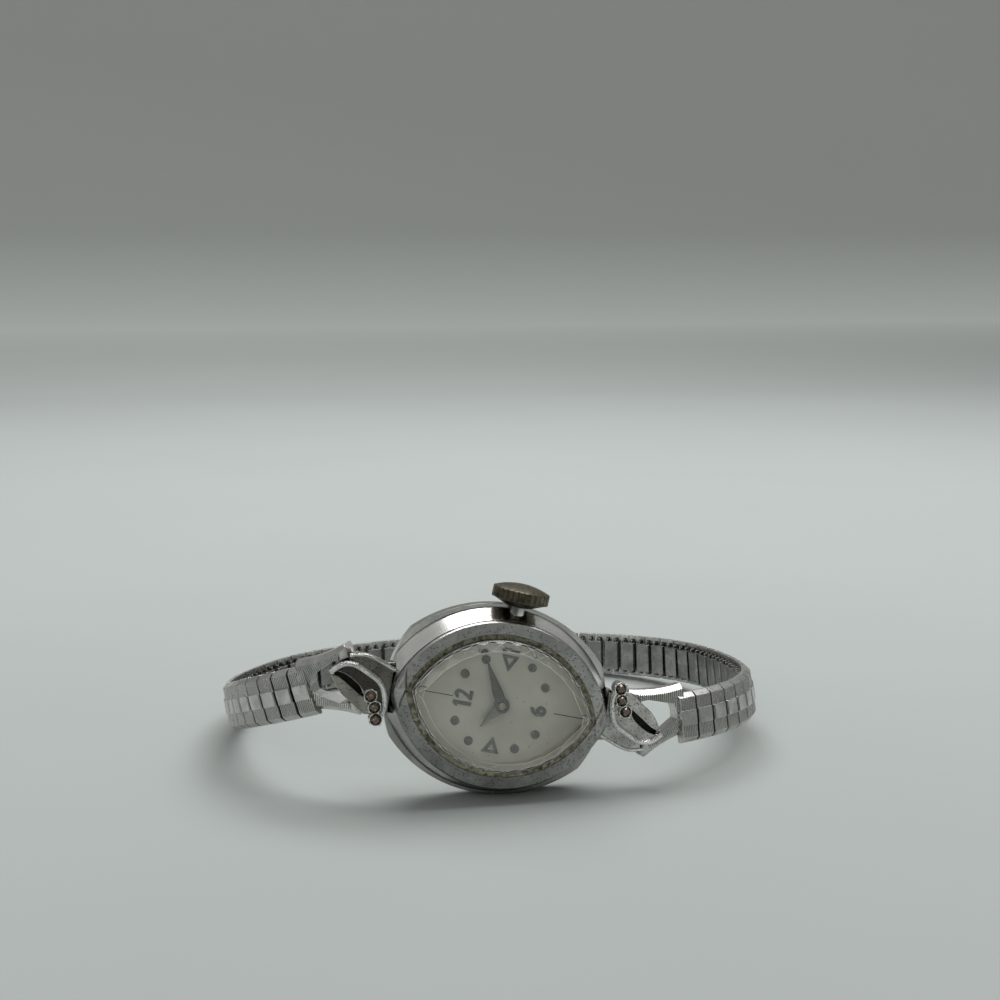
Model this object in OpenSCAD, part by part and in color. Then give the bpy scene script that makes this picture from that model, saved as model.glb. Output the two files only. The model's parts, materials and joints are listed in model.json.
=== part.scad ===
// A lady's hand-wound wristwatch, standing on the 9 o'clock flank of its case.
// The head is eye-shaped, with a faceted crystal, and its two bars are set askew,
// so the dial lies at a slant to an expansion bracelet of staggered hollow links.
// Head pieces are drawn in the head's own frame: x to 6 o'clock, y to the crown,
// z out of the dial, with z = 0 on the dial's face. stand() puts them on the table.

/* [Stance] */
// How far the head leans towards 6 o'clock, degrees
roll = 13.4; // [8:0.1:18]
// How far the head leans back, degrees
tilt = 4.5; // [3:0.1:8]

/* [Case] */
// Half width of the bezel across the 3 and 9 o'clock flanks
bezel_half = 8.1; // [7.9:0.05:8.8]
// Distance from the middle of the case to the centre of each flank's arc
flank_offset = 3; // [2.8:0.05:3.4]
// Width of the bezel's face, from its outer edge to the crystal
bezel_face = 1.25; // [1:0.05:1.4]
// Height of the bezel's crest over the dial
bezel_top = 1.5; // [1.4:0.05:1.9]
// How far the bezel's two tips are blunted
tip_blunt = 0.25; // [0.1:0.05:0.4]
// How far the case middle spreads beyond the bezel
flare = 0.85; // [0.6:0.05:1]
// How far the back's rim spreads beyond the case middle
rim_step = 0.35; // [0.2:0.05:0.5]
// How far the back's two ends stand beyond the bezel's tips
shoulder_step = 0.45; // [0.3:0.05:0.6]
// Radius that rounds the back's rim
back_round = 0.8; // [0.4:0.05:1]
// Thickness of the case walls
case_wall = 0.5; // [0.4:0.05:0.6]
// Height of the crystal's flat table over the dial
crystal_top = 2.2; // [2.1:0.05:2.6]
// Number of facets round the crystal's edge
crystal_facets = 24; // [16:2:24]
// Width of the crystal's facets, across its flanks
facet_w = 0.95; // [0.6:0.05:1.1]

/* [Dial and hands] */
// Thickness of the dial
dial_t = 0.3; // [0.2:0.05:0.4]
// Radius of the circle of hour markers
marker_r = 4.6; // [4.4:0.05:4.9]
// Radius of a round hour marker
dot_r = 0.42; // [0.3:0.02:0.5]
// Height of the applied markers over the dial
marker_h = 0.16; // [0.1:0.02:0.24]
// Length of the hour hand, from the centre
hour_len = 2.85; // [2.5:0.05:3.3]
// Length of the minute hand, from the centre
minute_len = 4.7; // [4.2:0.05:5]
// Time shown, in minutes after twelve
shown_time = 610; // [0:1:719]

/* [Crown] */
// Radius of the crown
crown_r = 2.75; // [2.3:0.05:3]
// Thickness of the crown's fluted rim
crown_rim = 1; // [0.8:0.05:1.2]
// Height of the crown's domed end
crown_dome = 0.6; // [0.4:0.05:0.8]
// Number of flutes round the crown
crown_flutes = 30; // [24:1:36]
// Radius of the winding stem
stem_r = 0.4; // [0.3:0.02:0.5]
// How far the crown pulls out to set the hands
crown_pull = 0.6; // [0.4:0.05:0.8]

/* [Movement] */
// Radius of the movement
movement_r = 6.3; // [6.2:0.05:6.5]
// Thickness of the main plate
plate_t = 1.05; // [1:0.05:1.2]
// Space between the main plate and the bridges
train_gap = 1.1; // [1.1:0.05:1.3]
// Thickness of the bridges
bridge_t = 0.45; // [0.35:0.05:0.55]
// Radius of the mainspring barrel
barrel_r = 2.3; // [2.2:0.02:2.32]
// Radius of the balance wheel
balance_r = 1.75; // [1.6:0.05:1.8]
// Radius of the train's pivots
pivot_r = 0.09; // [0.07:0.01:0.11]

/* [Lugs and bars] */
// Angle of the bracelet's bars to the 3 and 9 o'clock line, degrees
askew = 25; // [16:0.5:27]
// Distance of each bar from the middle of the case along the case
bar_x = 14.3; // [14:0.05:14.7]
// Offset of each bar's middle across the case
bar_y = 0.4; // [0.2:0.05:0.6]
// Depth of the bars below the dial's face
bar_drop = 1.3; // [1.1:0.05:1.5]
// Radius of the bars
bar_r = 0.4; // [0.3:0.02:0.45]
// Radius of the set stones
stone_r = 0.52; // [0.4:0.02:0.6]

/* [Bracelet] */
// Width of the bracelet
band_w = 4.9; // [4.7:0.05:5.2]
// Half width of the raised tile in the middle of each link
tile_half = 0.73; // [0.6:0.01:0.9]
// Width of the bevel along each side of the band
side_bevel = 0.5; // [0.3:0.02:0.55]
// Length of one link along the bracelet
link_pitch = 2.15; // [2.1:0.01:2.3]
// Gap between neighbouring top links
link_gap = 0.16; // [0.14:0.01:0.2]
// Gap between the top links and the spring links below them
layer_gap = 0.16; // [0.14:0.01:0.2]
// Thickness of a top link's sleeve and cap, without its raised middle
top_t = 0.9; // [0.85:0.02:1]
// How far a top link's middle tile stands over its outer rows
tile_step = 0.14; // [0.08:0.01:0.2]
// Thickness of a spring link
spring_link_t = 0.66; // [0.6:0.02:0.8]
// Length of a spring link along the bracelet
spring_link_l = 1.76; // [1.7:0.01:1.8]
// Radius of the wire of the edge staples
wire_r = 0.14; // [0.1:0.01:0.16]
// Ribs on each outer tile
ribs = 9; // [5:1:11]
// Length of a fork-shaped end piece, from its bar to the first link
end_l = 6; // [5.6:0.1:6.4]
// Half width of a fork across the tips of its prongs
fork_half = 3.7; // [3.5:0.05:3.9]
// Half length of the loop
loop_a = 27.4; // [26:0.2:30]
// Half depth of the loop
loop_b = 21.3; // [20:0.2:23]
// Squareness of the loop, where 2 is an ellipse
loop_n = 2.46; // [2.2:0.02:2.6]
// How far the loop's middle lies towards 6 o'clock
loop_x = 2.8; // [1.5:0.1:3.5]
// Angle by which the loop is turned, degrees
loop_turn = 2.2; // [0:0.1:4]

/* [Hidden] */
$fn = 48;

// Small clearances: running fit, seated fit and a plain gap
run = 0.03;
seat = 0.02;
gap = 0.1;

// Case outlines: c is how far a flank's arc centre lies beyond the middle
function eye_length(half, c = flank_offset) = sqrt(pow(half + c, 2) - c * c);
function eye_reach(angle, half) =
    sqrt(pow(flank_offset * sin(angle), 2) + pow(eye_length(half), 2)) - flank_offset * abs(sin(angle));

crest_r = 0.8;
opening_half = bezel_half - bezel_face;
cavity_half = bezel_half - 0.65;
tip_r = eye_length(bezel_half) - tip_blunt;
shoulder_r = tip_r + shoulder_step;
girth_half = bezel_half + flare;
rim_half = girth_half + rim_step;
rim_offset = flank_offset + 1;

// Levels, measured from the dial's face
crest_z = bezel_top - crest_r;
seam_z = crest_z - gap;
plate_top = -dial_t;
plate_bottom = plate_top - plate_t;
bridge_in = plate_bottom - train_gap;
bridge_out = bridge_in - bridge_t;
ratchet_t = 0.18;
ratchet_z = bridge_out - run - ratchet_t;
back_in = ratchet_z - 0.2;
back_out = back_in - case_wall;
rim_z = back_out + back_round;
girth_z = seam_z - 2.35;
wall_end = back_in + 0.3;
stem_z = (plate_top + plate_bottom) / 2 - 0.25;

// Crystal and its seat
seat_wall = 0.53;
crystal_half = opening_half - seat_wall - seat;
table_half = crystal_half - facet_w;
seat_top = bezel_top - 0.35;
ledge_z = seat_top - 0.45;
crystal_in = ledge_z + 0.6;

// Crown
crown_start = rim_half + gap;

crown_neck = 0.55;

// Keyless works: the stem's inner end, its square and the clutch that slides on it
stem_tail = 2.4;
stem_square = 0.28;
clutch_l = 0.84;
clutch_r = 0.72;

// Train: radii of the wheels and pinions, and where their arbors stand
centre_pinion_r = 0.4;
centre_wheel_r = 2.3;
third_pinion_r = centre_wheel_r / 8;
third_wheel_r = 1.7;
fourth_pinion_r = third_wheel_r / 7.5;
fourth_wheel_r = 1.6;
escape_pinion_r = fourth_wheel_r / 10;
escape_wheel_r = 1.05;
crown_wheel_r = 1.47;
ratchet_r = 2;
winding_pinion_r = 0.7;
winding_teeth = 19;
drum_teeth = 24;
crown_drum_r = winding_pinion_r * drum_teeth / winding_teeth;
motion_distance = 1.68;
hour_wheel_r = motion_distance * 0.8;
minute_pinion_r = motion_distance * 0.2;
minute_wheel_r = motion_distance * 0.75;
cannon_r = motion_distance * 0.25;

function from(p, angle, distance) = p + distance * [cos(angle), sin(angle)];
centre_at = [0, 0];
barrel_at = from(centre_at, 20, barrel_r + centre_pinion_r);
third_at = from(centre_at, -90, centre_wheel_r + third_pinion_r);
fourth_at = from(third_at, 190, third_wheel_r + fourth_pinion_r);
escape_at = from(fourth_at, 100, fourth_wheel_r + escape_pinion_r);
pallet_at = from(escape_at, 140, escape_wheel_r + 0.3);
pallet_reach = balance_r + 0.25;
balance_at = from(pallet_at, 95, pallet_reach);
minute_at = from(centre_at, 150, motion_distance);
crown_wheel_at = [0, sqrt(pow(ratchet_r + crown_wheel_r, 2) - pow(barrel_at[0], 2)) + barrel_at[1]];
click_at = from(barrel_at, 75, ratchet_r + 0.75);
winding_y = crown_wheel_at[1] + crown_drum_r - 0.15;

click_post_r = 0.14;

// Wheel levels, as heights over the plate's inner face
wheel_t = 0.12;
centre_z = plate_bottom - 0.3;
fourth_z = plate_bottom - 0.5;
escape_z = plate_bottom - 0.67;
third_z = plate_bottom - 0.85;
barrel_top = plate_bottom - 0.38;
balance_z = plate_bottom - 0.95;
spring_z = bridge_in + run;

// Screws of the bridges: the post stands in the plate, the head on the bridge
screw_at = [[4.9, 2.75], [4.5, -1.9], [2.4, -4.9], [-4.1, -4], [-5.1, -0.55], [-3.6, 4.4]];
screw_r = 0.28;
foot_r = 0.6;

// Jewels: holes in the plate and in the bridges, and the pivots that run in them
jewel_r = 0.34;
jewel_t = 0.2;
train_pivots = [third_at, fourth_at, escape_at, pallet_at];

hand_z = 0.58;
hand_t = 0.12;
hand_step = 0.3;
hour_pipe_r = 0.56;
cannon_pipe_r = 0.36;
centre_arbor_r = 0.2;
hour_angle = 180 - shown_time / 2;
minute_angle = 180 - shown_time * 6;

module eye_slab(half, z0, z1, c = flank_offset) {
    intersection() {
        translate([0, -c, z0]) cylinder(r = half + c, h = z1 - z0, $fn = 160);
        translate([0, c, z0]) cylinder(r = half + c, h = z1 - z0, $fn = 160);
    }
}

// An eye whose flanks follow a profile: children are drawn as half width and height
module eye_turned(c = flank_offset) {
    intersection() {
        translate([0, -c, 0]) rotate_extrude($fn = 160) translate([c, 0]) children();
        translate([0, c, 0]) rotate_extrude($fn = 160) translate([c, 0]) children();
    }
}

module box_profile(half, z0, z1, c = flank_offset) {
    translate([-c, z0]) square([half + c, z1 - z0]);
}

module at(p, z = 0) {
    translate([p[0], p[1], z]) children();
}

// Lays a shape drawn along z down along the winding stem, pointing out to the crown
module along_stem(y) {
    translate([0, y, stem_z]) rotate([-90, 0, 0]) children();
}

module case_middle() color("gainsboro") {
    difference() {
        union() {
            intersection() {
                eye_turned() polygon([
                    [-flank_offset, seam_z], [bezel_half, seam_z], [girth_half, girth_z + 0.25],
                    [girth_half, girth_z], [-flank_offset, girth_z]]);
                translate([0, 0, girth_z])
                    cylinder(r1 = shoulder_r, r2 = tip_r, h = seam_z - girth_z, $fn = 160);
            }
            eye_slab(cavity_half + case_wall, wall_end, girth_z);
        }
        eye_slab(cavity_half, wall_end - 1, seam_z + 1);
        along_stem(cavity_half - 1) cylinder(r = stem_r + 0.3, h = 4);
    }
    difference() {
        along_stem(cavity_half + 0.1) cylinder(r = stem_r + 0.3, h = crown_start - cavity_half - 0.2);
        along_stem(cavity_half - 1) cylinder(r = stem_r + run, h = 4);
    }
}

module bezel() color("silver") {
    difference() {
        eye_turned() difference() {
            union() {
                translate([bezel_half - crest_r, crest_z]) circle(crest_r);
                translate([-flank_offset, seam_z + seat])
                    square([flank_offset + bezel_half - crest_r, bezel_top - seam_z - seat - 0.3]);
            }
            translate([-flank_offset - 1, seam_z + seat - 2]) square([flank_offset + bezel_half + 2, 2]);
        }
        eye_slab(opening_half, seam_z - 1, bezel_top + 1);
        difference() {
            translate([0, 0, seam_z - 1]) cylinder(r = 2 * tip_r, h = 4);
            translate([0, 0, seam_z - 2]) cylinder(r = tip_r, h = 6, $fn = 160);
        }
    }
}

module case_back() color("lightsteelblue") {
    difference() {
        intersection() {
            eye_turned(rim_offset) union() {
                box_profile(rim_half, rim_z, girth_z - seat, rim_offset);
                box_profile(rim_half - back_round, back_out, girth_z - seat, rim_offset);
                translate([rim_half - back_round, rim_z]) circle(back_round);
            }
            rotate_extrude($fn = 160) intersection() {
                union() {
                    translate([0, rim_z]) square([shoulder_r, girth_z - rim_z]);
                    translate([0, back_out]) square([shoulder_r - back_round, 4]);
                    translate([shoulder_r - back_round, rim_z]) circle(back_round);
                }
                translate([0, back_out]) square([shoulder_r, 4]);
            }
        }
        eye_slab(cavity_half + case_wall + seat, wall_end - seat, girth_z + 1);
        eye_slab(cavity_half, back_in, girth_z + 1);
        along_stem(cavity_half - 1) cylinder(r = stem_r + 0.3 + seat, h = 4);
    }
}

// The facets fall away from a flat table and scallop the crystal's edge
module crystal() color("aliceblue", 0.5) {
    drop = crystal_top - crystal_in - 0.2;
    difference() {
        eye_slab(crystal_half, ledge_z, crystal_top);
        eye_slab(crystal_half - 0.35, ledge_z - 1, crystal_in);
        for (i = [0:crystal_facets - 1]) {
            angle = i * 360 / crystal_facets;
            edge = eye_reach(angle, table_half) * [cos(angle), sin(angle)];
            centre_y = abs(edge[1]) < 0.01 ? 0 : -flank_offset * sign(edge[1]);
            out = atan2(edge[1] - centre_y, edge[0]);
            run_out = centre_y == 0 ? eye_length(crystal_half) - norm(edge) : crystal_half - table_half;
            translate([edge[0], edge[1], crystal_top]) rotate([0, atan2(drop, run_out), out])
                translate([-4, -6, 0]) cube([12, 12, 4]);
        }
    }
}

module crystal_seat() color("goldenrod") {
    difference() {
        union() {
            eye_slab(cavity_half - seat, 0, seam_z);
            eye_slab(opening_half - seat, 0, seat_top);
        }
        eye_slab(crystal_half - 0.3, -1, seat_top + 1);
        eye_slab(crystal_half + seat, ledge_z, seat_top + 1);
    }
}

module dial() color("whitesmoke") {
    difference() {
        eye_slab(cavity_half - seat, plate_top, 0);
        translate([0, 0, -1]) cylinder(r = hour_pipe_r + 0.08, h = 2);
    }
}

// Rounds for eight hours, wedges for 3 and 9, plain numbers for 12 and 6
module hour_markers() color("dimgray") {
    for (hour = [1, 2, 4, 5, 7, 8, 10, 11])
        at(from(centre_at, 180 - hour * 30, marker_r)) difference() {
            cylinder(r = dot_r, h = marker_h);
            translate([0, 0, marker_h - 0.04]) cylinder(r = dot_r * 0.62, h = 1);
        }
    for (way = [1, -1])
        linear_extrude(marker_h) difference() {
            polygon([[-0.85, way * (marker_r + 0.15)], [0.85, way * (marker_r + 0.15)],
                     [0, way * (marker_r - 1.4)]]);
            polygon([[-0.38, way * (marker_r - 0.08)], [0.38, way * (marker_r - 0.08)],
                     [0, way * (marker_r - 0.8)]]);
        }
    translate([-marker_r + 1.78, -0.5, 0]) rotate(90) linear_extrude(marker_h) figure_one();
    translate([-marker_r + 1.78, -0.14, 0]) rotate(90) linear_extrude(marker_h) figure_two();
    translate([marker_r - 0.04, 0, 0]) rotate(90) linear_extrude(marker_h) figure_six();
}

// The figures' feet lie on the x axis, and their tops point along y
figure_h = 1.75;
stroke = 0.32;

module figure_one() {
    translate([-stroke / 2, 0]) square([stroke, figure_h]);
    polygon([[-stroke / 2, figure_h], [-0.36, figure_h - 0.3], [-0.36, figure_h - 0.5],
             [-stroke / 2, figure_h - 0.36]]);
}

module figure_two() {
    top = figure_h - 0.42;
    translate([0.05, 0]) square([0.85, stroke]);
    translate([0.47, top]) difference() {
        circle(0.42);
        circle(0.42 - stroke);
        translate([-1, -1]) square([1, 1]);
        polygon([[0, 0], [0.6, -0.5], [0, -1]]);
    }
    polygon([[0.05, stroke * 0.7], [0.42, stroke * 0.7], [0.84, top - 0.3], [0.64, top - 0.12]]);
}

module figure_six() {
    top = figure_h - 0.18;
    difference() {
        translate([0, 0.5]) circle(0.5);
        translate([0, 0.5]) circle(0.5 - stroke);
    }
    difference() {
        translate([0.24, top - 0.74]) circle(0.74);
        translate([0.24, top - 0.74]) circle(0.74 - stroke);
        translate([0.24, -1]) square([2, 3]);
        translate([-1, -1]) square([2, 1.5]);
    }
}

// A hand: a flat lance from its boss to its tip, lying along x
module lance(length, boss, widest, hole) {
    difference() {
        union() {
            circle(boss);
            polygon([[-boss * 0.4, boss * 0.85], [length * 0.3, widest], [length, 0.04],
                     [length, -0.04], [length * 0.3, -widest], [-boss * 0.4, -boss * 0.85]]);
        }
        circle(hole);
    }
}

module hour_hand() color("slategray") {
    rotate(hour_angle) translate([0, 0, hand_z]) linear_extrude(hand_t)
        lance(hour_len, hour_pipe_r + 0.22, 0.46, hour_pipe_r);
}

module minute_hand() color("slategray") {
    rotate(minute_angle) translate([0, 0, hand_z + hand_step]) {
        linear_extrude(hand_t) lance(minute_len, 0.66, 0.5, cannon_pipe_r);
        difference() {
            cylinder(r = cannon_pipe_r + 0.14, h = hand_t + 0.1);
            translate([0, 0, -1]) cylinder(r = cannon_pipe_r, h = 2);
        }
    }
}

// The crown screws on the stem: a fluted rim under a dome, over a hollow cone
module crown() color("darkkhaki") {
    difference() {
        along_stem(crown_start) union() {
            cylinder(r1 = crown_r * 0.5, r2 = crown_r - 0.12, h = crown_neck);
            translate([0, 0, crown_neck]) cylinder(r = crown_r, h = crown_rim);
            translate([0, 0, crown_neck + crown_rim]) intersection() {
                cylinder(r = crown_r - 0.1, h = crown_dome);
                dome_r = (pow(crown_r, 2) + pow(crown_dome, 2)) / (2 * crown_dome);
                translate([0, 0, crown_dome - dome_r]) sphere(dome_r, $fn = 96);
            }
        }
        for (i = [0:crown_flutes - 1])
            along_stem(crown_start + crown_neck - 0.2) rotate(i * 360 / crown_flutes)
                translate([crown_r + 0.04, 0, 0]) cylinder(r = 0.17, h = crown_rim + 0.3, $fn = 16);
        along_stem(crown_start - 1) cylinder(r = stem_r, h = 1 + crown_neck);
    }
}

module winding_stem() color("silver") {
    difference() {
        along_stem(winding_y - stem_tail) cylinder(r = stem_r, h = crown_start + crown_neck - winding_y + stem_tail);
        along_stem(winding_y - 2) difference() {
            cylinder(r = 1, h = 2 - seat);
            translate([-stem_square, -stem_square, -1]) cube([2 * stem_square, 2 * stem_square, 4]);
        }
    }
}

function spiral(r, pitch, turns, z_turn = 24) =
    [for (i = [0:turns * z_turn]) (r + pitch * i / z_turn) * [cos(i * 360 / z_turn), sin(i * 360 / z_turn)]];

// A flat ribbon wound outwards
module wound(r, pitch, turns, t) {
    inner = spiral(r, pitch, turns);
    outer = spiral(r + t, pitch, turns);
    polygon(concat(inner, [for (i = [len(outer) - 1:-1:0]) outer[i]]));
}

// Teeth are small blunt wedges round the pitch circle
function teeth_points(n, r) = [for (i = [0:n - 1], k = [0:3])
    (r + (k == 1 || k == 2 ? 1 : -1) * r * 1.6 / n) *
    [cos((i + [0, 0.18, 0.42, 0.6][k]) * 360 / n), sin((i + [0, 0.18, 0.42, 0.6][k]) * 360 / n)]];

// A toothed wheel with round crossings between its hub and its rim
module wheel(n, r, h, hub = 0.3) {
    linear_extrude(h) difference() {
        polygon(teeth_points(n, r));
        if (r > 1)
            for (i = [0:4])
                rotate(i * 72) translate([(r + hub) / 2, 0])
                    circle(min((r - hub) / 2 - 0.17, (r + hub) / 2 * sin(36) - 0.12));
    }
}

// A wheel, its pinion and their arbor, whose pivots run in the plate and a bridge
module wheel_and_pinion(p, n, r, z, pinion_n, pinion_r, pinion_z) {
    at(p, z) wheel(n, r, wheel_t);
    at(p, pinion_z - 0.04) linear_extrude(wheel_t + 0.1) polygon(teeth_points(pinion_n, pinion_r));
    at(p, bridge_in + run) cylinder(r = pivot_r + 0.05, h = train_gap - 2 * run);
    at(p, bridge_in - jewel_t + run) cylinder(r = pivot_r, h = train_gap + 2 * jewel_t - 2 * run);
}

module train_footprint() {
    hull() {
        for (p = [third_at, fourth_at]) at(p) circle(1, $fn = 32);
        at(escape_at) circle(0.7, $fn = 32);
        for (k = [1, 2, 3]) at(screw_at[k]) circle(foot_r, $fn = 32);
    }
}

module barrel_footprint(grow = 0) {
    polygon([[-1.7 - grow, 7], [7, 7], [7, -0.9 - grow], [0.8, -0.9 - grow], [-1.7 - grow, -0.6 - grow]]);
}

module screw_holes(list) {
    for (k = list) at(screw_at[k], bridge_out - 1) cylinder(r = screw_r + seat, h = 10);
}

module main_plate() color("darkgoldenrod") {
    difference() {
        at(centre_at, plate_bottom) cylinder(r = movement_r, h = plate_t, $fn = 96);
        at(centre_at, plate_bottom - 1) cylinder(r = centre_arbor_r + run, h = 4);
        at(centre_at, plate_top - 0.52) cylinder(r = hour_wheel_r + 0.2, h = 1);
        at(minute_at, plate_top - 0.52) cylinder(r = minute_wheel_r + 0.2, h = 1);
        translate([-clutch_r - gap, winding_y - 2.05, plate_bottom - 1]) cube([2 * (clutch_r + gap), 2.8, 4]);
        along_stem(winding_y - stem_tail - gap) cylinder(r = stem_r + run, h = 8);
        for (p = train_pivots) at(p, plate_bottom - 1) cylinder(r = jewel_r, h = 1 + jewel_t);
        at(balance_at, plate_bottom - 1) cylinder(r = jewel_r, h = 1 + jewel_t);
        at(barrel_at, plate_bottom - 1) cylinder(r = 0.3 + run, h = 1.4);
        screw_holes([0:5]);
    }
    at(minute_at, plate_top - 0.52) cylinder(r = 0.2, h = 0.5);
}

module bridge_plate() {
    translate([0, 0, bridge_out]) linear_extrude(bridge_t) children();
}

module bridge_feet(list) {
    for (k = list) at(screw_at[k], bridge_in) cylinder(r = foot_r - 0.1, h = train_gap);
}

module train_bridge() color("khaki") {
    difference() {
        union() {
            bridge_plate() difference() {
                intersection() {
                    train_footprint();
                    circle(movement_r, $fn = 96);
                }
                barrel_footprint(gap);
            }
            bridge_feet([1, 2, 3]);
        }
        for (p = [third_at, fourth_at, escape_at]) at(p, bridge_in - jewel_t) cylinder(r = jewel_r, h = 1);
        screw_holes([1, 2, 3]);
    }
}

module barrel_bridge() color("khaki") {
    difference() {
        union() {
            bridge_plate() difference() {
                intersection() {
                    circle(movement_r, $fn = 96);
                    barrel_footprint();
                }
                at(crown_wheel_at) circle(crown_drum_r + gap);
            }
            bridge_feet([0]);
            at([-0.9, 5.6], bridge_in) cylinder(r = 0.3, h = train_gap);
            at(click_at, bridge_out - ratchet_t) cylinder(r = click_post_r, h = ratchet_t + 0.1);
        }
        at(barrel_at, bridge_out - 1) cylinder(r = 0.3 + run, h = 4);
        at(centre_at, bridge_in - jewel_t) cylinder(r = jewel_r, h = 1);
        screw_holes([0]);
    }
}

module balance_cock() color("khaki") {
    difference() {
        union() {
            bridge_plate() intersection() {
                circle(movement_r, $fn = 96);
                hull() {
                    at(balance_at) circle(0.75, $fn = 32);
                    at(screw_at[5]) circle(foot_r + 0.3, $fn = 32);
                }
            }
            bridge_plate() intersection() {
                circle(movement_r, $fn = 96);
                hull() {
                    at(pallet_at) circle(0.5, $fn = 32);
                    at(screw_at[4]) circle(foot_r - 0.15, $fn = 32);
                }
            }
            bridge_feet([4, 5]);
        }
        for (p = [balance_at, pallet_at]) at(p, bridge_in - jewel_t) cylinder(r = jewel_r, h = 1);
        screw_holes([4, 5]);
    }
}

module bridge_screws() color("steelblue") {
    for (p = screw_at) {
        at(p, bridge_out) cylinder(r = screw_r, h = plate_top - 0.1 - bridge_out);
        difference() {
            at(p, bridge_out - ratchet_t) cylinder(r = screw_r + 0.2, h = ratchet_t);
            at(p, bridge_out - ratchet_t - 0.02) translate([-1, -0.06, 0]) cube([2, 0.12, 0.1]);
        }
    }
}

module jewels() color("crimson") {
    for (p = concat(train_pivots, [balance_at, centre_at]), z = [plate_bottom, bridge_in - jewel_t])
        if (p != centre_at || z < plate_bottom)
            at(p, z) difference() {
                cylinder(r = jewel_r, h = jewel_t);
                translate([0, 0, -1]) cylinder(r = pivot_r + run, h = 3);
            }
}

module movement_ring() color("burlywood") {
    difference() {
        eye_slab(cavity_half - seat, plate_bottom - 0.4, plate_top);
        at(centre_at, plate_bottom - 2) cylinder(r = movement_r + seat, h = 4, $fn = 96);
        along_stem(movement_r - 2) cylinder(r = stem_r + 0.15, h = 5);
    }
}

module barrel() color("goldenrod") {
    difference() {
        union() {
            at(barrel_at, bridge_in + gap) cylinder(r = barrel_r - 0.12, h = barrel_top - bridge_in - gap);
            at(barrel_at, third_z) linear_extrude(wheel_t + 0.1) polygon(teeth_points(69, barrel_r));
        }
        at(barrel_at, bridge_in + gap + 0.1) cylinder(r = barrel_r - 0.3, h = barrel_top - bridge_in - gap - 0.2);
        at(barrel_at, bridge_in - 1) cylinder(r = 0.3 + run, h = 4);
    }
}

module mainspring() color("slategray") {
    at(barrel_at, bridge_in + gap + 0.14)
        linear_extrude(barrel_top - bridge_in - gap - 0.28) wound(0.45, 0.17, 8, 0.06);
}

// The ratchet wheel and the barrel's arbor, which is square where the wheel sits
module ratchet_wheel() color("silver") {
    at(barrel_at, ratchet_z) linear_extrude(ratchet_t) polygon(teeth_points(40, ratchet_r));
    at(barrel_at, ratchet_z) cylinder(r = 0.3, h = plate_bottom + 0.3 - ratchet_z);
}

module click() color("silver") {
    at(click_at, ratchet_z) linear_extrude(ratchet_t) difference() {
        union() {
            circle(0.42);
            rotate(-75) translate([0.1, -0.14]) square([0.5, 0.28]);
            rotate(200) translate([0, -0.12]) square([0.95, 0.24]);
        }
        circle(click_post_r + run);
    }
}

module crown_wheel() color("silver") {
    at(crown_wheel_at, ratchet_z) linear_extrude(ratchet_t) polygon(teeth_points(29, crown_wheel_r));
    at(crown_wheel_at, ratchet_z) linear_extrude(stem_z - winding_pinion_r - 0.06 - ratchet_z)
        polygon(teeth_points(drum_teeth, crown_drum_r - 0.06));
}

module winding_pinion() color("silver") {
    along_stem(winding_y) difference() {
        linear_extrude(0.62) polygon(teeth_points(winding_teeth, winding_pinion_r - 0.05));
        translate([0, 0, -1]) cylinder(r = stem_r + run, h = 3);
    }
}

module clutch_pinion() color("silver") {
    along_stem(winding_y - clutch_l - run) difference() {
        union() {
            cylinder(r = clutch_r, h = clutch_l - 0.14);
            translate([0, 0, clutch_l - 0.14]) linear_extrude(0.14) polygon(teeth_points(12, 0.6));
        }
        translate([-stem_square - seat, -stem_square - seat, -1])
            cube([2 * (stem_square + seat), 2 * (stem_square + seat), 3]);
        translate([0, 0, 0.25]) difference() {
            cylinder(r = 1, h = 0.22);
            translate([0, 0, -1]) cylinder(r = 0.56, h = 3);
        }
    }
}

module centre_wheel() color("gold") {
    at(centre_at, centre_z) wheel(64, centre_wheel_r, wheel_t);
    at(centre_at, bridge_in + 0.12) linear_extrude(centre_z - bridge_in - 0.12 + 0.02)
        polygon(teeth_points(12, centre_pinion_r - 0.05));
    at(centre_at, bridge_in - jewel_t + run) cylinder(r = pivot_r, h = 1);
    at(centre_at, bridge_in + run) cylinder(r = centre_arbor_r, h = hand_z + hand_step - bridge_in);
}

module third_wheel() color("gold") {
    wheel_and_pinion(third_at, 60, third_wheel_r, third_z, 8, third_pinion_r - 0.03, centre_z);
}

module fourth_wheel() color("gold") {
    wheel_and_pinion(fourth_at, 70, fourth_wheel_r, fourth_z, 8, fourth_pinion_r - 0.02, third_z);
}

module escape_wheel() color("gold") {
    wheel_and_pinion(escape_at, 15, escape_wheel_r, escape_z, 7, escape_pinion_r - 0.01, fourth_z);
}

// The fork reaches to the balance, and two arms hold its pallets over the escape wheel's rim
module pallet_fork() color("silver") {
    to_balance = atan2(balance_at[1] - pallet_at[1], balance_at[0] - pallet_at[0]);
    at(pallet_at, escape_z) {
        linear_extrude(wheel_t) rotate(to_balance) difference() {
            union() {
                translate([-0.3, -0.09]) square([pallet_reach - 0.2, 0.18]);
                translate([pallet_reach - 0.6, -0.24]) square([0.35, 0.48]);
            }
            translate([pallet_reach - 0.4, -0.12]) square([0.4, 0.24]);
        }
        linear_extrude(wheel_t) for (side = [-1, 1])
            rotate(-40 + side * 85) translate([0, -0.09]) square([0.75, 0.18]);
    }
    at(pallet_at, bridge_in + run) cylinder(r = pivot_r + 0.05, h = train_gap - 2 * run);
    at(pallet_at, bridge_in - jewel_t + run) cylinder(r = pivot_r, h = train_gap + 2 * jewel_t - 2 * run);
}

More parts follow.
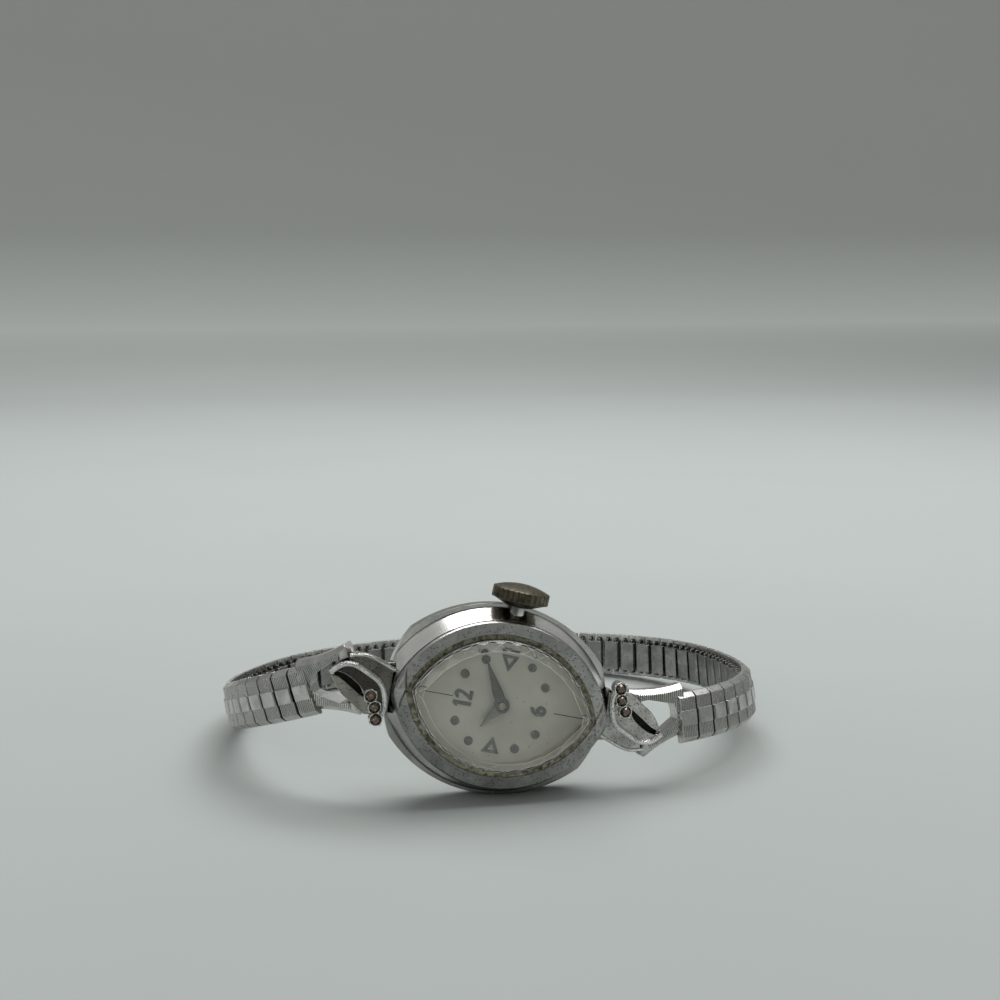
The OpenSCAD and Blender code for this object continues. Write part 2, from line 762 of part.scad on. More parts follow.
module balance_wheel() color("gold") {
    at(balance_at, balance_z) linear_extrude(0.2) difference() {
        circle(balance_r, $fn = 96);
        difference() {
            circle(balance_r - 0.2, $fn = 96);
            square([2 * balance_r, 0.24], center = true);
        }
    }
    at(balance_at, escape_z + wheel_t + 0.02) cylinder(r = 0.16, h = 0.1);
    at(balance_at, bridge_in + run) cylinder(r = pivot_r + 0.05, h = train_gap - 2 * run);
    at(balance_at, bridge_in - jewel_t + run) cylinder(r = pivot_r, h = train_gap + 2 * jewel_t - 2 * run);
}

module hairspring() color("steelblue") {
    at(balance_at, spring_z) {
        linear_extrude(0.08) wound(0.2, 0.09, 8, 0.03);
        linear_extrude(0.08) difference() {
            circle(0.22);
            circle(pivot_r + 0.05);
        }
    }
}

module cannon_pinion() color("silver") {
    difference() {
        union() {
            translate([0, 0, plate_top - 0.45]) linear_extrude(0.3) polygon(teeth_points(12, cannon_r - 0.03));
            translate([0, 0, plate_top - 0.3]) cylinder(r = cannon_pipe_r, h = hand_z + hand_step + hand_t - plate_top + 0.3);
        }
        translate([0, 0, -2]) cylinder(r = centre_arbor_r, h = 4);
    }
}

module hour_wheel() color("gold") {
    difference() {
        union() {
            translate([0, 0, plate_top - 0.13]) linear_extrude(0.1) polygon(teeth_points(40, hour_wheel_r - 0.02));
            translate([0, 0, plate_top - 0.13]) cylinder(r = hour_pipe_r, h = hand_z + hand_t - plate_top + 0.13);
        }
        translate([0, 0, -2]) cylinder(r = cannon_pipe_r + run, h = 4);
    }
}

module minute_wheel() color("gold") {
    at(minute_at, plate_top - 0.45) difference() {
        union() {
            linear_extrude(0.1) polygon(teeth_points(36, minute_wheel_r - 0.02));
            linear_extrude(0.42) polygon(teeth_points(10, minute_pinion_r - 0.02));
        }
        translate([0, 0, -1]) cylinder(r = 0.2 + run, h = 3);
    }
}

// Everything outside this turned shape is clear of the case's two ends
module case_ends() {
    rotate_extrude($fn = 160) polygon([
        [0, back_out - 1], [shoulder_r + seat, back_out - 1], [shoulder_r + seat, girth_z],
        [tip_r + seat, seam_z], [tip_r + seat, bezel_top + 1], [0, bezel_top + 1]]);
}

// Lays a shape drawn along z down along the 12 o'clock bar
module along_bar() {
    translate([-bar_x, -bar_y, -bar_drop]) rotate([0, 0, askew]) rotate([-90, 0, 0]) children();
}

// Leaf, petal, blade and ribbon of the 12 o'clock lug, by points on their outlines
leaf_rim = [[-15, 1.95], [-13.7, 2.25], [-12.6, 2.08], [-11.5, 1.7], [-10.4, 1.3]];
petal_rim = [[-16.5, 0.1], [-16, 0.7], [-15.2, 1.2], [-14.2, 1.2], [-13.1, 0.75], [-12, 0.2], [-11.4, -0.4],
             [-11, -1.3], [-10.85, -2.3], [-11, -3.1]];
slot_top = [[-13.1, -1.1], [-13.6, -0.6], [-14.3, -0.15], [-15, 0.2], [-15.8, 0.35], [-16.5, 0.05]];
slot_low = [[-16.4, -0.1], [-15.7, -0.15], [-15, -0.5], [-14.2, -1], [-13.3, -1.55]];
blade_low = [[-12.3, -1.9], [-11.9, -3.2], [-12.6, -3.25], [-13.35, -2.85], [-14.05, -2.35], [-15, -1.8], [-15.7, -1.1]];
stones_at = [[-12.35, -1.4], [-11.75, -2.4], [-11.4, -3.5]];
leaf_z = 0;
ridge_r = 0.19;
collet_r = stone_r + 0.12;
collet_z = 0.35;

// A smooth curve through points, and a strip of even width along it
function curve_at(p, i, t) = let (
    a = p[max(i - 1, 0)], b = p[i], c = p[i + 1], d = p[min(i + 2, len(p) - 1)])
    0.5 * (2 * b + (c - a) * t + (2 * a - 5 * b + 4 * c - d) * t * t + (3 * b - a - 3 * c + d) * t * t * t);
function smooth(p, n = 3) = concat(
    [for (i = [0:len(p) - 2], k = [0:n - 1]) curve_at(p, i, k / n)], [p[len(p) - 1]]);
function inner(p) = [for (i = [1:len(p) - 2]) p[i]];
function strip(p, half) = let (
    sides = [for (i = [0:len(p) - 1]) let (d = unit(p[min(i + 1, len(p) - 1)] - p[max(i - 1, 0)]))
        half * [-d[1], d[0]]])
    concat([for (i = [0:len(p) - 1]) p[i] + sides[i]], [for (i = [len(p) - 1:-1:0]) p[i] - sides[i]]);

module slab(z0, z1, points) {
    translate([0, 0, z0]) linear_extrude(z1 - z0) polygon(points);
}

// A rounded ridge along a curve: a wide foot under a narrow crest
module ridge(p, z, r = ridge_r) {
    slab(z - 0.5, z + 0.45 * r, strip(smooth(p), r));
    slab(z, z + r, strip(smooth(p), 0.55 * r));
}

module lug() {
    difference() {
        union() {
            along_bar() translate([0, 0, -eye_half]) cylinder(r = eye_r, h = 2 * eye_half);
            slab(-bar_drop - 0.65, -bar_drop + 0.65,
                [[-9.5, 2.2], [-13.9, 1.2], [-14.5, -1.7], [-13.4, -2.3], [-9.5, -3.4]]);
            slab(leaf_z - 0.75, leaf_z, concat(inner(smooth(leaf_rim)), [[-10.45, -2.9], [-12.6, -2], [-14.6, 1]]));
            ridge(leaf_rim, leaf_z - 0.1);
            slab(leaf_z - 0.33, leaf_z + 0.12, concat(inner(smooth(petal_rim)), [[-12, -3.25]], slot_top));
            slab(leaf_z - 0.82, leaf_z - 0.05, concat(slot_low, blade_low));
            ridge(petal_rim, leaf_z + 0.2, ridge_r + 0.04);
            for (p = stones_at) {
                at(p, leaf_z - 0.9) cylinder(r = collet_r, h = collet_z - leaf_z + 0.9);
                for (a = [45:90:315])
                    at(from(p, a, stone_r + 0.07), leaf_z - 0.3)
                        cylinder(r = 0.13, h = collet_z - leaf_z + 0.42, $fn = 16);
            }
        }
        for (p = stones_at) stone_pocket(p);
        along_bar() translate([0, 0, -5]) cylinder(r = bar_r + seat, h = 10);
        for (side = [0, 180])
            along_bar() rotate([side, 0, 0]) translate([0, 0, eye_half + gap])
                cylinder(r = swing_r, h = fork_half - eye_half);
        case_ends();
    }
}

eye_r = 0.75;
fork_inner = 2.25;
eye_half = fork_inner - 0.35;
swing_r = 1.05;
girdle_z = collet_z - 0.08;

module stone_pocket(p) {
    at(p, girdle_z - 0.45) cylinder(r1 = stone_r * 0.35 + seat, r2 = stone_r + seat, h = 0.45);
    at(p, girdle_z) cylinder(r = stone_r + seat, h = 1);
}

module lug_12() color("silver") {
    lug();
}

module lug_6() color("silver") {
    rotate(180) lug();
}

// Brilliant-cut stones: pavilion, girdle and crown
module lug_stones() color("darkorange") {
    for (turn = [0, 180], p = stones_at)
        rotate(turn) at(p, girdle_z) {
            translate([0, 0, -0.4]) cylinder(r1 = stone_r * 0.35, r2 = stone_r - seat, h = 0.4, $fn = 12);
            cylinder(r = stone_r - seat, h = 0.06, $fn = 12);
            translate([0, 0, 0.06]) cylinder(r1 = stone_r - seat, r2 = stone_r * 0.55, h = 0.22, $fn = 12);
        }
}

module bar() {
    along_bar() translate([0, 0, -bar_half]) cylinder(r = bar_r, h = 2 * bar_half);
}

module bar_12() color("silver") {
    bar();
}

module bar_6() color("silver") {
    rotate(180) bar();
}

// Where the head stands: points of its own frame as points over the table
head_z = cos(tilt) * (rim_half + rim_offset - back_round - rim_offset * cos(roll))
    - sin(tilt) * rim_z + back_round;

function head_point(p) = let (
    along = p[0] * cos(roll) + p[1] * sin(roll),
    up = p[1] * cos(roll) - p[0] * sin(roll))
    [along, up * sin(tilt) - p[2] * cos(tilt), head_z + up * cos(tilt) + p[2] * sin(tilt)];

function unit(v) = v / norm(v);
function bar_point(side) = head_point([side * bar_x, side * bar_y, -bar_drop]);
bar_up = head_point([-sin(askew), cos(askew), 0]) - head_point([0, 0, 0]);

// The bracelet's path in plan: phi runs from the front by the left to the back and the right
function signed_power(v, e) = sign(v) * pow(abs(v), e);
function loop_offset(phi) = let (
    u = -loop_a * signed_power(sin(phi), 2 / loop_n),
    v = -loop_b * signed_power(cos(phi), 2 / loop_n))
    [u * cos(loop_turn) - v * sin(loop_turn), u * sin(loop_turn) + v * cos(loop_turn)];
phi_left = lookup(bar_point(-1)[0] - loop_x, [for (phi = [80:-1:5]) [loop_offset(phi)[0], phi]]);
phi_right = lookup(bar_point(1)[0] - loop_x, [for (phi = [355:-1:280]) [loop_offset(phi)[0], phi]]);
loop_y = bar_point(-1)[1] - loop_offset(phi_left)[1];
plan_step = 1.5;
plan_table = [for (phi = phi_left, s = 0; phi <= phi_right + plan_step;
    s = s + norm(loop_offset(phi + plan_step) - loop_offset(phi)), phi = phi + plan_step) [phi, s]];
plan_length = lookup(phi_right, plan_table);

// Heights: each side comes down from its bar to the table, and the band leans back and sideways
rest_z = band_w / 2 + 0.15;
back_phi = 180;
fall_12 = 28;
fall_6 = 55;
fall_bend = 10;
function soft_fall(x) = x > fall_bend ? x : pow(max(0, x + fall_bend), 2) / (4 * fall_bend);
function path_z(phi) = let (s = lookup(phi, plan_table),
    from_6 = min(1, max(0, (plan_length - s) / fall_6)))
    rest_z + (bar_point(-1)[2] - rest_z) * soft_fall(fall_12 - s) / fall_12
    + (bar_point(1)[2] - rest_z) * (1 + cos(180 * from_6)) / 2;
function path(phi) = let (p = loop_offset(phi)) [p[0] + loop_x, p[1] + loop_y, path_z(phi)];
function lean_up(phi) = [-sin(lookup(phi, [[35, 9], [90, 8], [180, 3], [270, 6], [342, 9]])),
    sin(lookup(phi, [[35, 6], [90, 8], [180, 4], [250, 9], [300, 12], [342, 8]])), 1];

// The chain runs between the two end pieces: phi_first and phi_last are where they end
phi_first = lookup(end_l, [for (phi = [phi_left + 2:1:90]) [norm(path(phi) - bar_point(-1)), phi]]);
phi_last = lookup(end_l, [for (phi = [phi_right - 2:-1:270]) [norm(path(phi) - bar_point(1)), phi]]);
chain_step = 0.25;
chain_table = [for (phi = phi_first - 4, s = 0; phi <= phi_last + 4;
    s = s + norm(path(phi + chain_step) - path(phi)), phi = phi + chain_step) [phi, s]];
chain_start = lookup(phi_first, chain_table);
chain_length = lookup(phi_last, chain_table) - chain_start;
phi_table = [for (row = chain_table) [row[1] - chain_start, row[0]]];
links_all = round(chain_length / link_pitch);
pitch = chain_length / links_all;
links_12 = round((lookup(back_phi, chain_table) - chain_start) / pitch);
links_6 = links_all - links_12;
sections = 4;

// A frame is a point and three directions: along the chain away from the head, across, outward
function chain_frame(side, s) = let (
    phi = lookup(side < 0 ? s : chain_length - s, phi_table),
    t = unit(path(phi + 0.4) - path(phi - 0.4)),
    lean = lean_up(phi),
    up = unit(lean - (lean * t) * t),
    out = cross(up, t),
    away = -side * t)
    [path(phi), away, cross(out, away), out];
function end_frame(side) = let (
    start = bar_point(side),
    reach = chain_frame(side, 0)[0] - start,
    away = unit(reach - (reach * bar_up) * bar_up),
    across = side * bar_up)
    [start, away, across, cross(away, across)];

module place(f) {
    multmatrix([[f[1][0], f[2][0], f[3][0], f[0][0]], [f[1][1], f[2][1], f[3][1], f[0][1]],
                [f[1][2], f[2][2], f[3][2], f[0][2]]]) children();
}

// Link sizes
link_low = layer_gap / 2;
link_high = link_low + top_t;
tile_high = link_high + tile_step;
bore_r = wire_r + 0.07;
top_bore_z = link_low + 0.42;
low_mid_z = -layer_gap / 2 - spring_link_t / 2;
sleeve_half = band_w / 2 - 0.35;
spring_half = sleeve_half - 0.4;
rib_depth = 0.1;

// Draws a side view, as x and z, across the band
module across_band(width) {
    rotate([90, 0, 0]) linear_extrude(width, center = true) children();
}

// Cross-section of the band's outer layer, with bevelled sides
module band_section(half, length) {
    rotate([90, 0, 90]) linear_extrude(length) polygon([
        [-half, -2], [half, -2], [half, link_high - side_bevel], [half - side_bevel, link_high],
        [half - side_bevel - 0.3, tile_high + 0.1], [side_bevel + 0.3 - half, tile_high + 0.1],
        [side_bevel - half, link_high], [-half, link_high - side_bevel]]);
}

// Side view of a row of ribs from x0 to x1, on a slab down to z0
module ribbed(x0, x1, z0, count, z1 = link_high) {
    rib = (x1 - x0) / count;
    polygon(concat([[x0, z0]],
        [for (i = [0:count - 1], k = [[0, rib_depth], [0.3, 0], [0.7, 0]])
            [x0 + (i + k[0]) * rib, z1 - k[1]]],
        [[x1, z1 - rib_depth], [x1, z0]]));
}

// Hollow of a sleeve: two bores for the staples' legs, joined by a slot for the leaf spring
module sleeve_hollow(half, z) {
    for (way = [-1, 1])
        translate([way * pitch / 4, -half, z]) rotate([-90, 0, 0]) cylinder(r = bore_r, h = 2 * half);
    translate([-pitch / 4, -half, z - 0.13]) cube([pitch / 2, 2 * half, 0.26]);
}

// The body of a top link: a raised tile between two ribbed rows, with bevelled sides
module link_body() {
    half = (pitch - link_gap) / 2;
    intersection() {
        union() {
            across_band(band_w) ribbed(-half, half, link_low, ribs);
            across_band(2 * tile_half) polygon([
                [-half, link_low], [half, link_low], [half, tile_high - 0.12], [half - 0.12, tile_high],
                [0.12 - half, tile_high], [-half, tile_high - 0.12]]);
        }
        translate([-2, 0, 0]) band_section(band_w / 2, 4);
    }
}

module top_link() {
    difference() {
        link_body();
        sleeve_hollow(sleeve_half, top_bore_z);
        for (way = [-1, 1], edge = [-1, 1])
            translate([way * pitch / 4 - bore_r, edge * (sleeve_half - 0.18) - 0.18, 0])
                cube([2 * bore_r, 0.36, top_bore_z]);
    }
}

// Strip that presses on the legs of the staples
module leaf_spring(half, z) {
    translate([-0.15, 0.2 - half, z - 0.03]) cube([0.3, 2 * half - 0.4, 0.06]);
}

module spring_link() {
    half = spring_link_l / 2;
    corner = 0.2;
    difference() {
        across_band(2 * spring_half) translate([0, low_mid_z]) {
            square([2 * half, spring_link_t - 2 * corner], center = true);
            square([2 * (half - corner), spring_link_t], center = true);
            for (i = [-1, 1], j = [-1, 1])
                translate([i * (half - corner), j * (spring_link_t / 2 - corner)]) circle(corner, $fn = 24);
        }
        sleeve_hollow(spring_half + 1, low_mid_z);
    }
}

// A staple at each edge: one leg in a top link, one in a spring link
module staples() {
    for (edge = [0, 180])
        rotate([0, 0, edge]) {
            for (z = [top_bore_z, low_mid_z])
                translate([0, 1, z]) rotate([-90, 0, 0]) cylinder(r = wire_r, h = sleeve_half - 0.08 - 1, $fn = 24);
            translate([-wire_r, sleeve_half - 0.08 - 2 * wire_r, low_mid_z])
                cube([2 * wire_r, 2 * wire_r, top_bore_z - low_mid_z]);
        }
}

function section_first(count, k) = floor(count * (k - 1) / sections) + 1;
function link_range(side, k) = let (count = side < 0 ? links_12 : links_6)
    [section_first(count, k):section_first(count, k + 1) - 1];

module top_links(side, k) color("darkgray") {
    for (i = link_range(side, k)) {
        place(chain_frame(side, (i - 0.5) * pitch)) top_link();
        place(chain_frame(side, (i - 0.5) * pitch)) leaf_spring(sleeve_half, top_bore_z);
    }
}

module spring_links(side, k) color("dimgray") {
    for (i = link_range(side, k)) {
        place(chain_frame(side, (i - 1) * pitch)) spring_link();
        place(chain_frame(side, (i - 1) * pitch)) leaf_spring(spring_half, low_mid_z);
        for (way = [-1, 1]) place(chain_frame(side, (i - 1 + way / 4) * pitch)) staples();
    }
}

// The fork: its prongs turn on the bar, and its tail is a link fused on, which holds the first staples
fork_end = end_l - 0.9;
fork_tip = 0.9;
prong_turn = 17;
fork_rib = 0.22;
flare_r = (pow(fork_end + fork_tip, 2) + pow(fork_half - band_w / 2, 2)) / (2 * fork_half - band_w);
bar_half = band_w / 2 + flare_r - sqrt(pow(flare_r, 2) - pow(fork_end, 2)) - 0.2;

module fork_plan() {
    half = [[fork_end, fork_half], [0, fork_half + 0.2], [-fork_tip, fork_half - 0.8], [-fork_tip, fork_inner],
            [1.2, fork_inner - 0.25], [2.6, fork_inner - 0.9], [3.85, fork_inner - 1.45], [3.95, 0]];
    polygon(concat(half, [for (i = [len(half) - 2:-1:0]) [half[i][0], -half[i][1]]]));
}

// What lies outside the prongs' curved, bevelled flanks
module fork_flanks() {
    for (way = [-1, 1])
        translate([fork_end, way * (band_w / 2 + flare_r), 0]) rotate_extrude($fn = 160) polygon([
            [0, -2], [flare_r, -2], [flare_r, link_high - side_bevel], [flare_r + side_bevel, link_high],
            [flare_r + side_bevel, 2], [0, 2]]);
}

module fork_body() {
    difference() {
        intersection() {
            translate([0, 0, -2]) linear_extrude(4) fork_plan();
            across_band(3 * fork_half) {
                circle(fork_tip);
                polygon([[0.25, -0.7], [fork_end, -0.4], [fork_end, 2], [0.25, 2]]);
            }
            for (way = [-1, 1])
                intersection() {
                    rotate([0, 0, -way * prong_turn]) across_band(3 * fork_half)
                        ribbed(-3, 8, -2, round(11 / fork_rib));
                    translate([-3, way < 0 ? -6 : 0, -3]) cube([12, 6, 6]);
                }
        }
        fork_flanks();
        translate([0, -bar_half - seat, 0]) rotate([-90, 0, 0]) cylinder(r = bar_r + run, h = 2 * (bar_half + seat));
    }
}

module end_piece(side) color("gray") {
    difference() {
        union() {
            place(end_frame(side)) fork_body();
            place(chain_frame(side, -pitch / 2)) link_body();
        }
        place(chain_frame(side, -pitch / 4)) {
            translate([0, -sleeve_half, top_bore_z]) rotate([-90, 0, 0]) cylinder(r = bore_r, h = 2 * sleeve_half);
            for (edge = [-1, 1])
                translate([-bore_r, edge * (sleeve_half - 0.18) - 0.18, -0.4]) cube([2 * bore_r, 0.36, top_bore_z + 0.4]);
        }
        place(chain_frame(side, 0)) translate([-spring_link_l / 2 - gap, -3, -1.5]) cube([3, 6, 1.48]);
        place(chain_frame(side, 0)) translate([-link_gap / 2, -3, -1]) cube([2, 6, 3]);
    }
}

// The origin is under the middle of the whole watch
corners = [for (side = [-1, 1], i = [1:(side < 0 ? links_12 : links_6)], x = [-1, 1], y = [-1, 1])
    let (f = chain_frame(side, (i - 0.5) * pitch))
    f[0] + x * pitch / 2 * f[1] + y * band_w / 2 * f[2] + (link_high - side_bevel) * f[3]];
front_y = -(crystal_top * cos(tilt) + (table_half + flank_offset * (1 - cos(roll))) * sin(tilt));
middle = [(min([for (p = corners) p[0]]) + max([for (p = corners) p[0]])) / 2,
          (front_y + max([for (p = corners) p[1]])) / 2];

// Stands a piece of the head on the table
module stand() {
    translate([-middle[0], -middle[1], head_z]) rotate([90 - tilt, 0, 0]) rotate([0, 0, -roll]) children();
}

// Moves a piece of the bracelet over the origin
module settle() {
    translate([-middle[0], -middle[1], 0]) children();
}

stand() case_middle();
stand() bezel();
stand() case_back();
stand() crystal();
stand() crystal_seat();
stand() lug_12();
stand() lug_6();
stand() lug_stones();
stand() dial();
stand() hour_markers();
stand() hour_hand();
stand() minute_hand();
stand() crown();
stand() winding_stem();
stand() movement_ring();
stand() main_plate();
stand() train_bridge();
stand() barrel_bridge();
stand() balance_cock();
stand() barrel();
stand() mainspring();
stand() ratchet_wheel();
stand() click();
stand() crown_wheel();
stand() winding_pinion();
stand() clutch_pinion();
stand() centre_wheel();
stand() third_wheel();
stand() fourth_wheel();
stand() escape_wheel();
stand() pallet_fork();
stand() balance_wheel();
stand() hairspring();
stand() cannon_pinion();
stand() hour_wheel();
stand() minute_wheel();
stand() jewels();
stand() bridge_screws();
stand() bar_12();
stand() bar_6();
settle() end_piece(-1);  // end_piece_12
settle() end_piece(1);  // end_piece_6
for (k = [1:sections]) {
    settle() top_links(-1, k);
    settle() top_links(1, k);
    settle() spring_links(-1, k);
    settle() spring_links(1, k);
}
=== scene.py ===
"""Looks of a lady's hand-wound wristwatch on an expansion bracelet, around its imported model.

Finishes are placed and sized in millimetres. Meshes, lamps and the stage are in metres.
"""

import json
import math

import bmesh
import bpy
from bpy.props import FloatProperty, FloatVectorProperty, PointerProperty
from mathutils import Matrix, Vector


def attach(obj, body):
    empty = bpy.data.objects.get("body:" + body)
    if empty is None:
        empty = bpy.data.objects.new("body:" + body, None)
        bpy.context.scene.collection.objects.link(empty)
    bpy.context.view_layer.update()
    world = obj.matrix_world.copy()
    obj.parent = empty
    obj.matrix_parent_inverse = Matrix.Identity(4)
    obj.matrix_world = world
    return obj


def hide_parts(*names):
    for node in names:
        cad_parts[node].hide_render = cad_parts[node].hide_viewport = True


bl_info = {
    "name": "Cocktail Watch Finish",
    "version": (1, 0, 0),
    "blender": (4, 5, 0),
    "location": "View3D > Sidebar > Watch",
    "description": "Finishes a hand-wound cocktail watch and its expansion bracelet",
    "category": "Object",
}

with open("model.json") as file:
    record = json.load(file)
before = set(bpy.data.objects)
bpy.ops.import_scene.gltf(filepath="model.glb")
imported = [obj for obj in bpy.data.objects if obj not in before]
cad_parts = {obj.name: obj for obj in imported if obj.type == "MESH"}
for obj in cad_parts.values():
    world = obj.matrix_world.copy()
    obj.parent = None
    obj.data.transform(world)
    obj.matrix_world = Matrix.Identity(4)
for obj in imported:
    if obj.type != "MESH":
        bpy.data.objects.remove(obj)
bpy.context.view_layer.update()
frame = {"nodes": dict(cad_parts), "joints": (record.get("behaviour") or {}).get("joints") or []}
NODES = frame["nodes"]
JOINTS = {joint["name"]: joint for joint in frame["joints"]}
MM = 0.001

# How far the dial's face lies over the place of the hands' joint
DIAL_OVER_JOINT_MM = 2.0


def head_frame():
    """The head's own frame: x to 6 o'clock, y to the crown, z out of the dial, from its face."""
    out = Vector(JOINTS["minute_turn"]["axis"]).normalized()
    up = Vector(JOINTS["crown_turn"]["axis"]).normalized()
    along = up.cross(out)
    origin = Vector(JOINTS["minute_turn"]["pos_m"]) + out * DIAL_OVER_JOINT_MM * MM
    turn = Matrix((along, up, out)).transposed()
    return Matrix.Translation(origin) @ turn.to_4x4()


HEAD = head_frame()


# Node helpers

def new_material(name):
    material = bpy.data.materials.new(name)
    material.use_nodes = True
    material.node_tree.nodes.clear()
    return material


def add(tree, kind, inputs=None, **settings):
    """A new node. An input is linked where its value is another node's output."""
    node = tree.nodes.new(kind)
    for key, value in settings.items():
        setattr(node, key, value)
    for key, value in (inputs or {}).items():
        feed(tree, node.inputs[key], value)
    return node


def feed(tree, socket, value):
    if hasattr(value, "is_output"):
        tree.links.new(value, socket)
    else:
        socket.default_value = value


def colour(rgb):
    return (*rgb, 1.0)


def shade_of(rgb, factor):
    return colour([c * factor for c in rgb])


def millimetres(tree, placed=None):
    """Object coordinates in millimetres, in the head's frame where one is given."""
    coords = add(tree, "ShaderNodeTexCoord")
    place = placed or Matrix.Identity(4)
    return add(tree, "ShaderNodeMapping", {
        "Vector": coords.outputs["Object"],
        "Location": place.to_translation(),
        "Rotation": place.to_euler(),
        "Scale": (MM, MM, MM),
    }, vector_type="TEXTURE").outputs["Vector"]


def axis_of(tree, vector, axis):
    return add(tree, "ShaderNodeSeparateXYZ", {"Vector": vector}).outputs[axis]


def noise(tree, vector, per_mm, detail=3.0, rough=0.55, warp=0.0):
    return add(tree, "ShaderNodeTexNoise", {
        "Vector": vector, "Scale": per_mm, "Detail": detail, "Roughness": rough,
        "Distortion": warp,
    }).outputs["Fac"]


def remap(tree, value, low, high, to_low=0.0, to_high=1.0):
    return add(tree, "ShaderNodeMapRange", {
        "Value": value, "From Min": low, "From Max": high, "To Min": to_low, "To Max": to_high,
    }, clamp=True).outputs["Result"]


def maths(tree, operation, a, b=0.0):
    return add(tree, "ShaderNodeMath", {0: a, 1: b}, operation=operation).outputs["Value"]


def blend(tree, factor, a, b):
    """Colour a, turning to b as the factor goes from 0 to 1."""
    node = add(tree, "ShaderNodeMix", data_type="RGBA")
    for socket, value in ((0, factor), (6, a), (7, b)):
        feed(tree, node.inputs[socket], value)
    return node.outputs[2]


def bumps(tree, height, strength, depth_mm, normal=None):
    bump = add(tree, "ShaderNodeBump", {
        "Height": height, "Strength": strength, "Distance": depth_mm * MM,
    })
    if normal:
        feed(tree, bump.inputs["Normal"], normal)
    return bump.outputs["Normal"]


def pits(tree, vector, per_mm, size, share):
    """A mask of small round pits: size is their radius in cells, share how many cells have one."""
    cells = add(tree, "ShaderNodeTexVoronoi", {"Vector": vector, "Scale": per_mm})
    some = add(tree, "ShaderNodeSeparateColor", {"Color": cells.outputs["Color"]})
    chosen = remap(tree, some.outputs["Red"], 1.0 - share, 1.0 - share + 0.02)
    round_hole = remap(tree, cells.outputs["Distance"], size, size * 0.4)
    return maths(tree, "MULTIPLY", chosen, round_hole)


def edges(tree, radius_mm, flat=0.985, sharp=0.86):
    """(rounded normal, mask of sharp edges, for wear and painted highlights) of a piece, by a
    rounding radius.

    The mask is 0 where the rounding turns the normal little (a cosine of flat), 1 at sharp edges.
    """
    rounded = add(tree, "ShaderNodeBevel", {"Radius": radius_mm * MM}, samples=6)
    geometry = add(tree, "ShaderNodeNewGeometry")
    along = add(tree, "ShaderNodeVectorMath", {
        0: rounded.outputs["Normal"], 1: geometry.outputs["Normal"],
    }, operation="DOT_PRODUCT")
    return rounded.outputs["Normal"], remap(tree, along.outputs["Value"], flat, sharp)


def by_height(tree, at, levels):
    """A colour that changes in steps with height in the head's frame."""
    low, high = levels[0][0] - 1.0, levels[-1][0] + 1.0
    steps = add(tree, "ShaderNodeValToRGB", {"Fac": remap(tree, axis_of(tree, at, "Z"), low, high)})
    steps.color_ramp.interpolation = "CONSTANT"
    marks = steps.color_ramp.elements
    marks[0].color = colour(levels[0][1])
    marks[1].color = colour(levels[-1][1])
    for start, rgb in levels[1:]:
        mark = marks.new((start - low) / (high - low))
        mark.color = colour(rgb)
    return steps.outputs["Color"]


def finish_material(material, shader):
    add(material.node_tree, "ShaderNodeOutputMaterial", {"Surface": shader})
    return material


# What all the metals share. A range is where a mask starts and where it is full.
STAIN_RANGE = (0.38, 0.66)
FINE_PER_MM = 9.0
FINE_SHARE = 0.25
PIT_RADIUS = 0.42
PIT_DEPTH = 0.05
PIT_SHADE = 0.25
# How far sharp edges turn to the light colour, for wear and a painted highlight
EDGE_WEAR_AND_GLINT_SHARE = 0.7
NOOK_REACH_MM = 0.7
NOOK_RANGE = (0.62, 0.2)
# Colour of dirt and of painted shade, as a share of the dark colour
DIRT_AND_SHADE_SHARE = 0.2
SOOT_COLOUR = (0.02, 0.02, 0.018)
SOOT_SHARE = 0.92
SOOT_RAGGED_MM = 0.12
ROUGH_MIX = 0.6
ROUGH_RANGE = (0.15, 0.95)


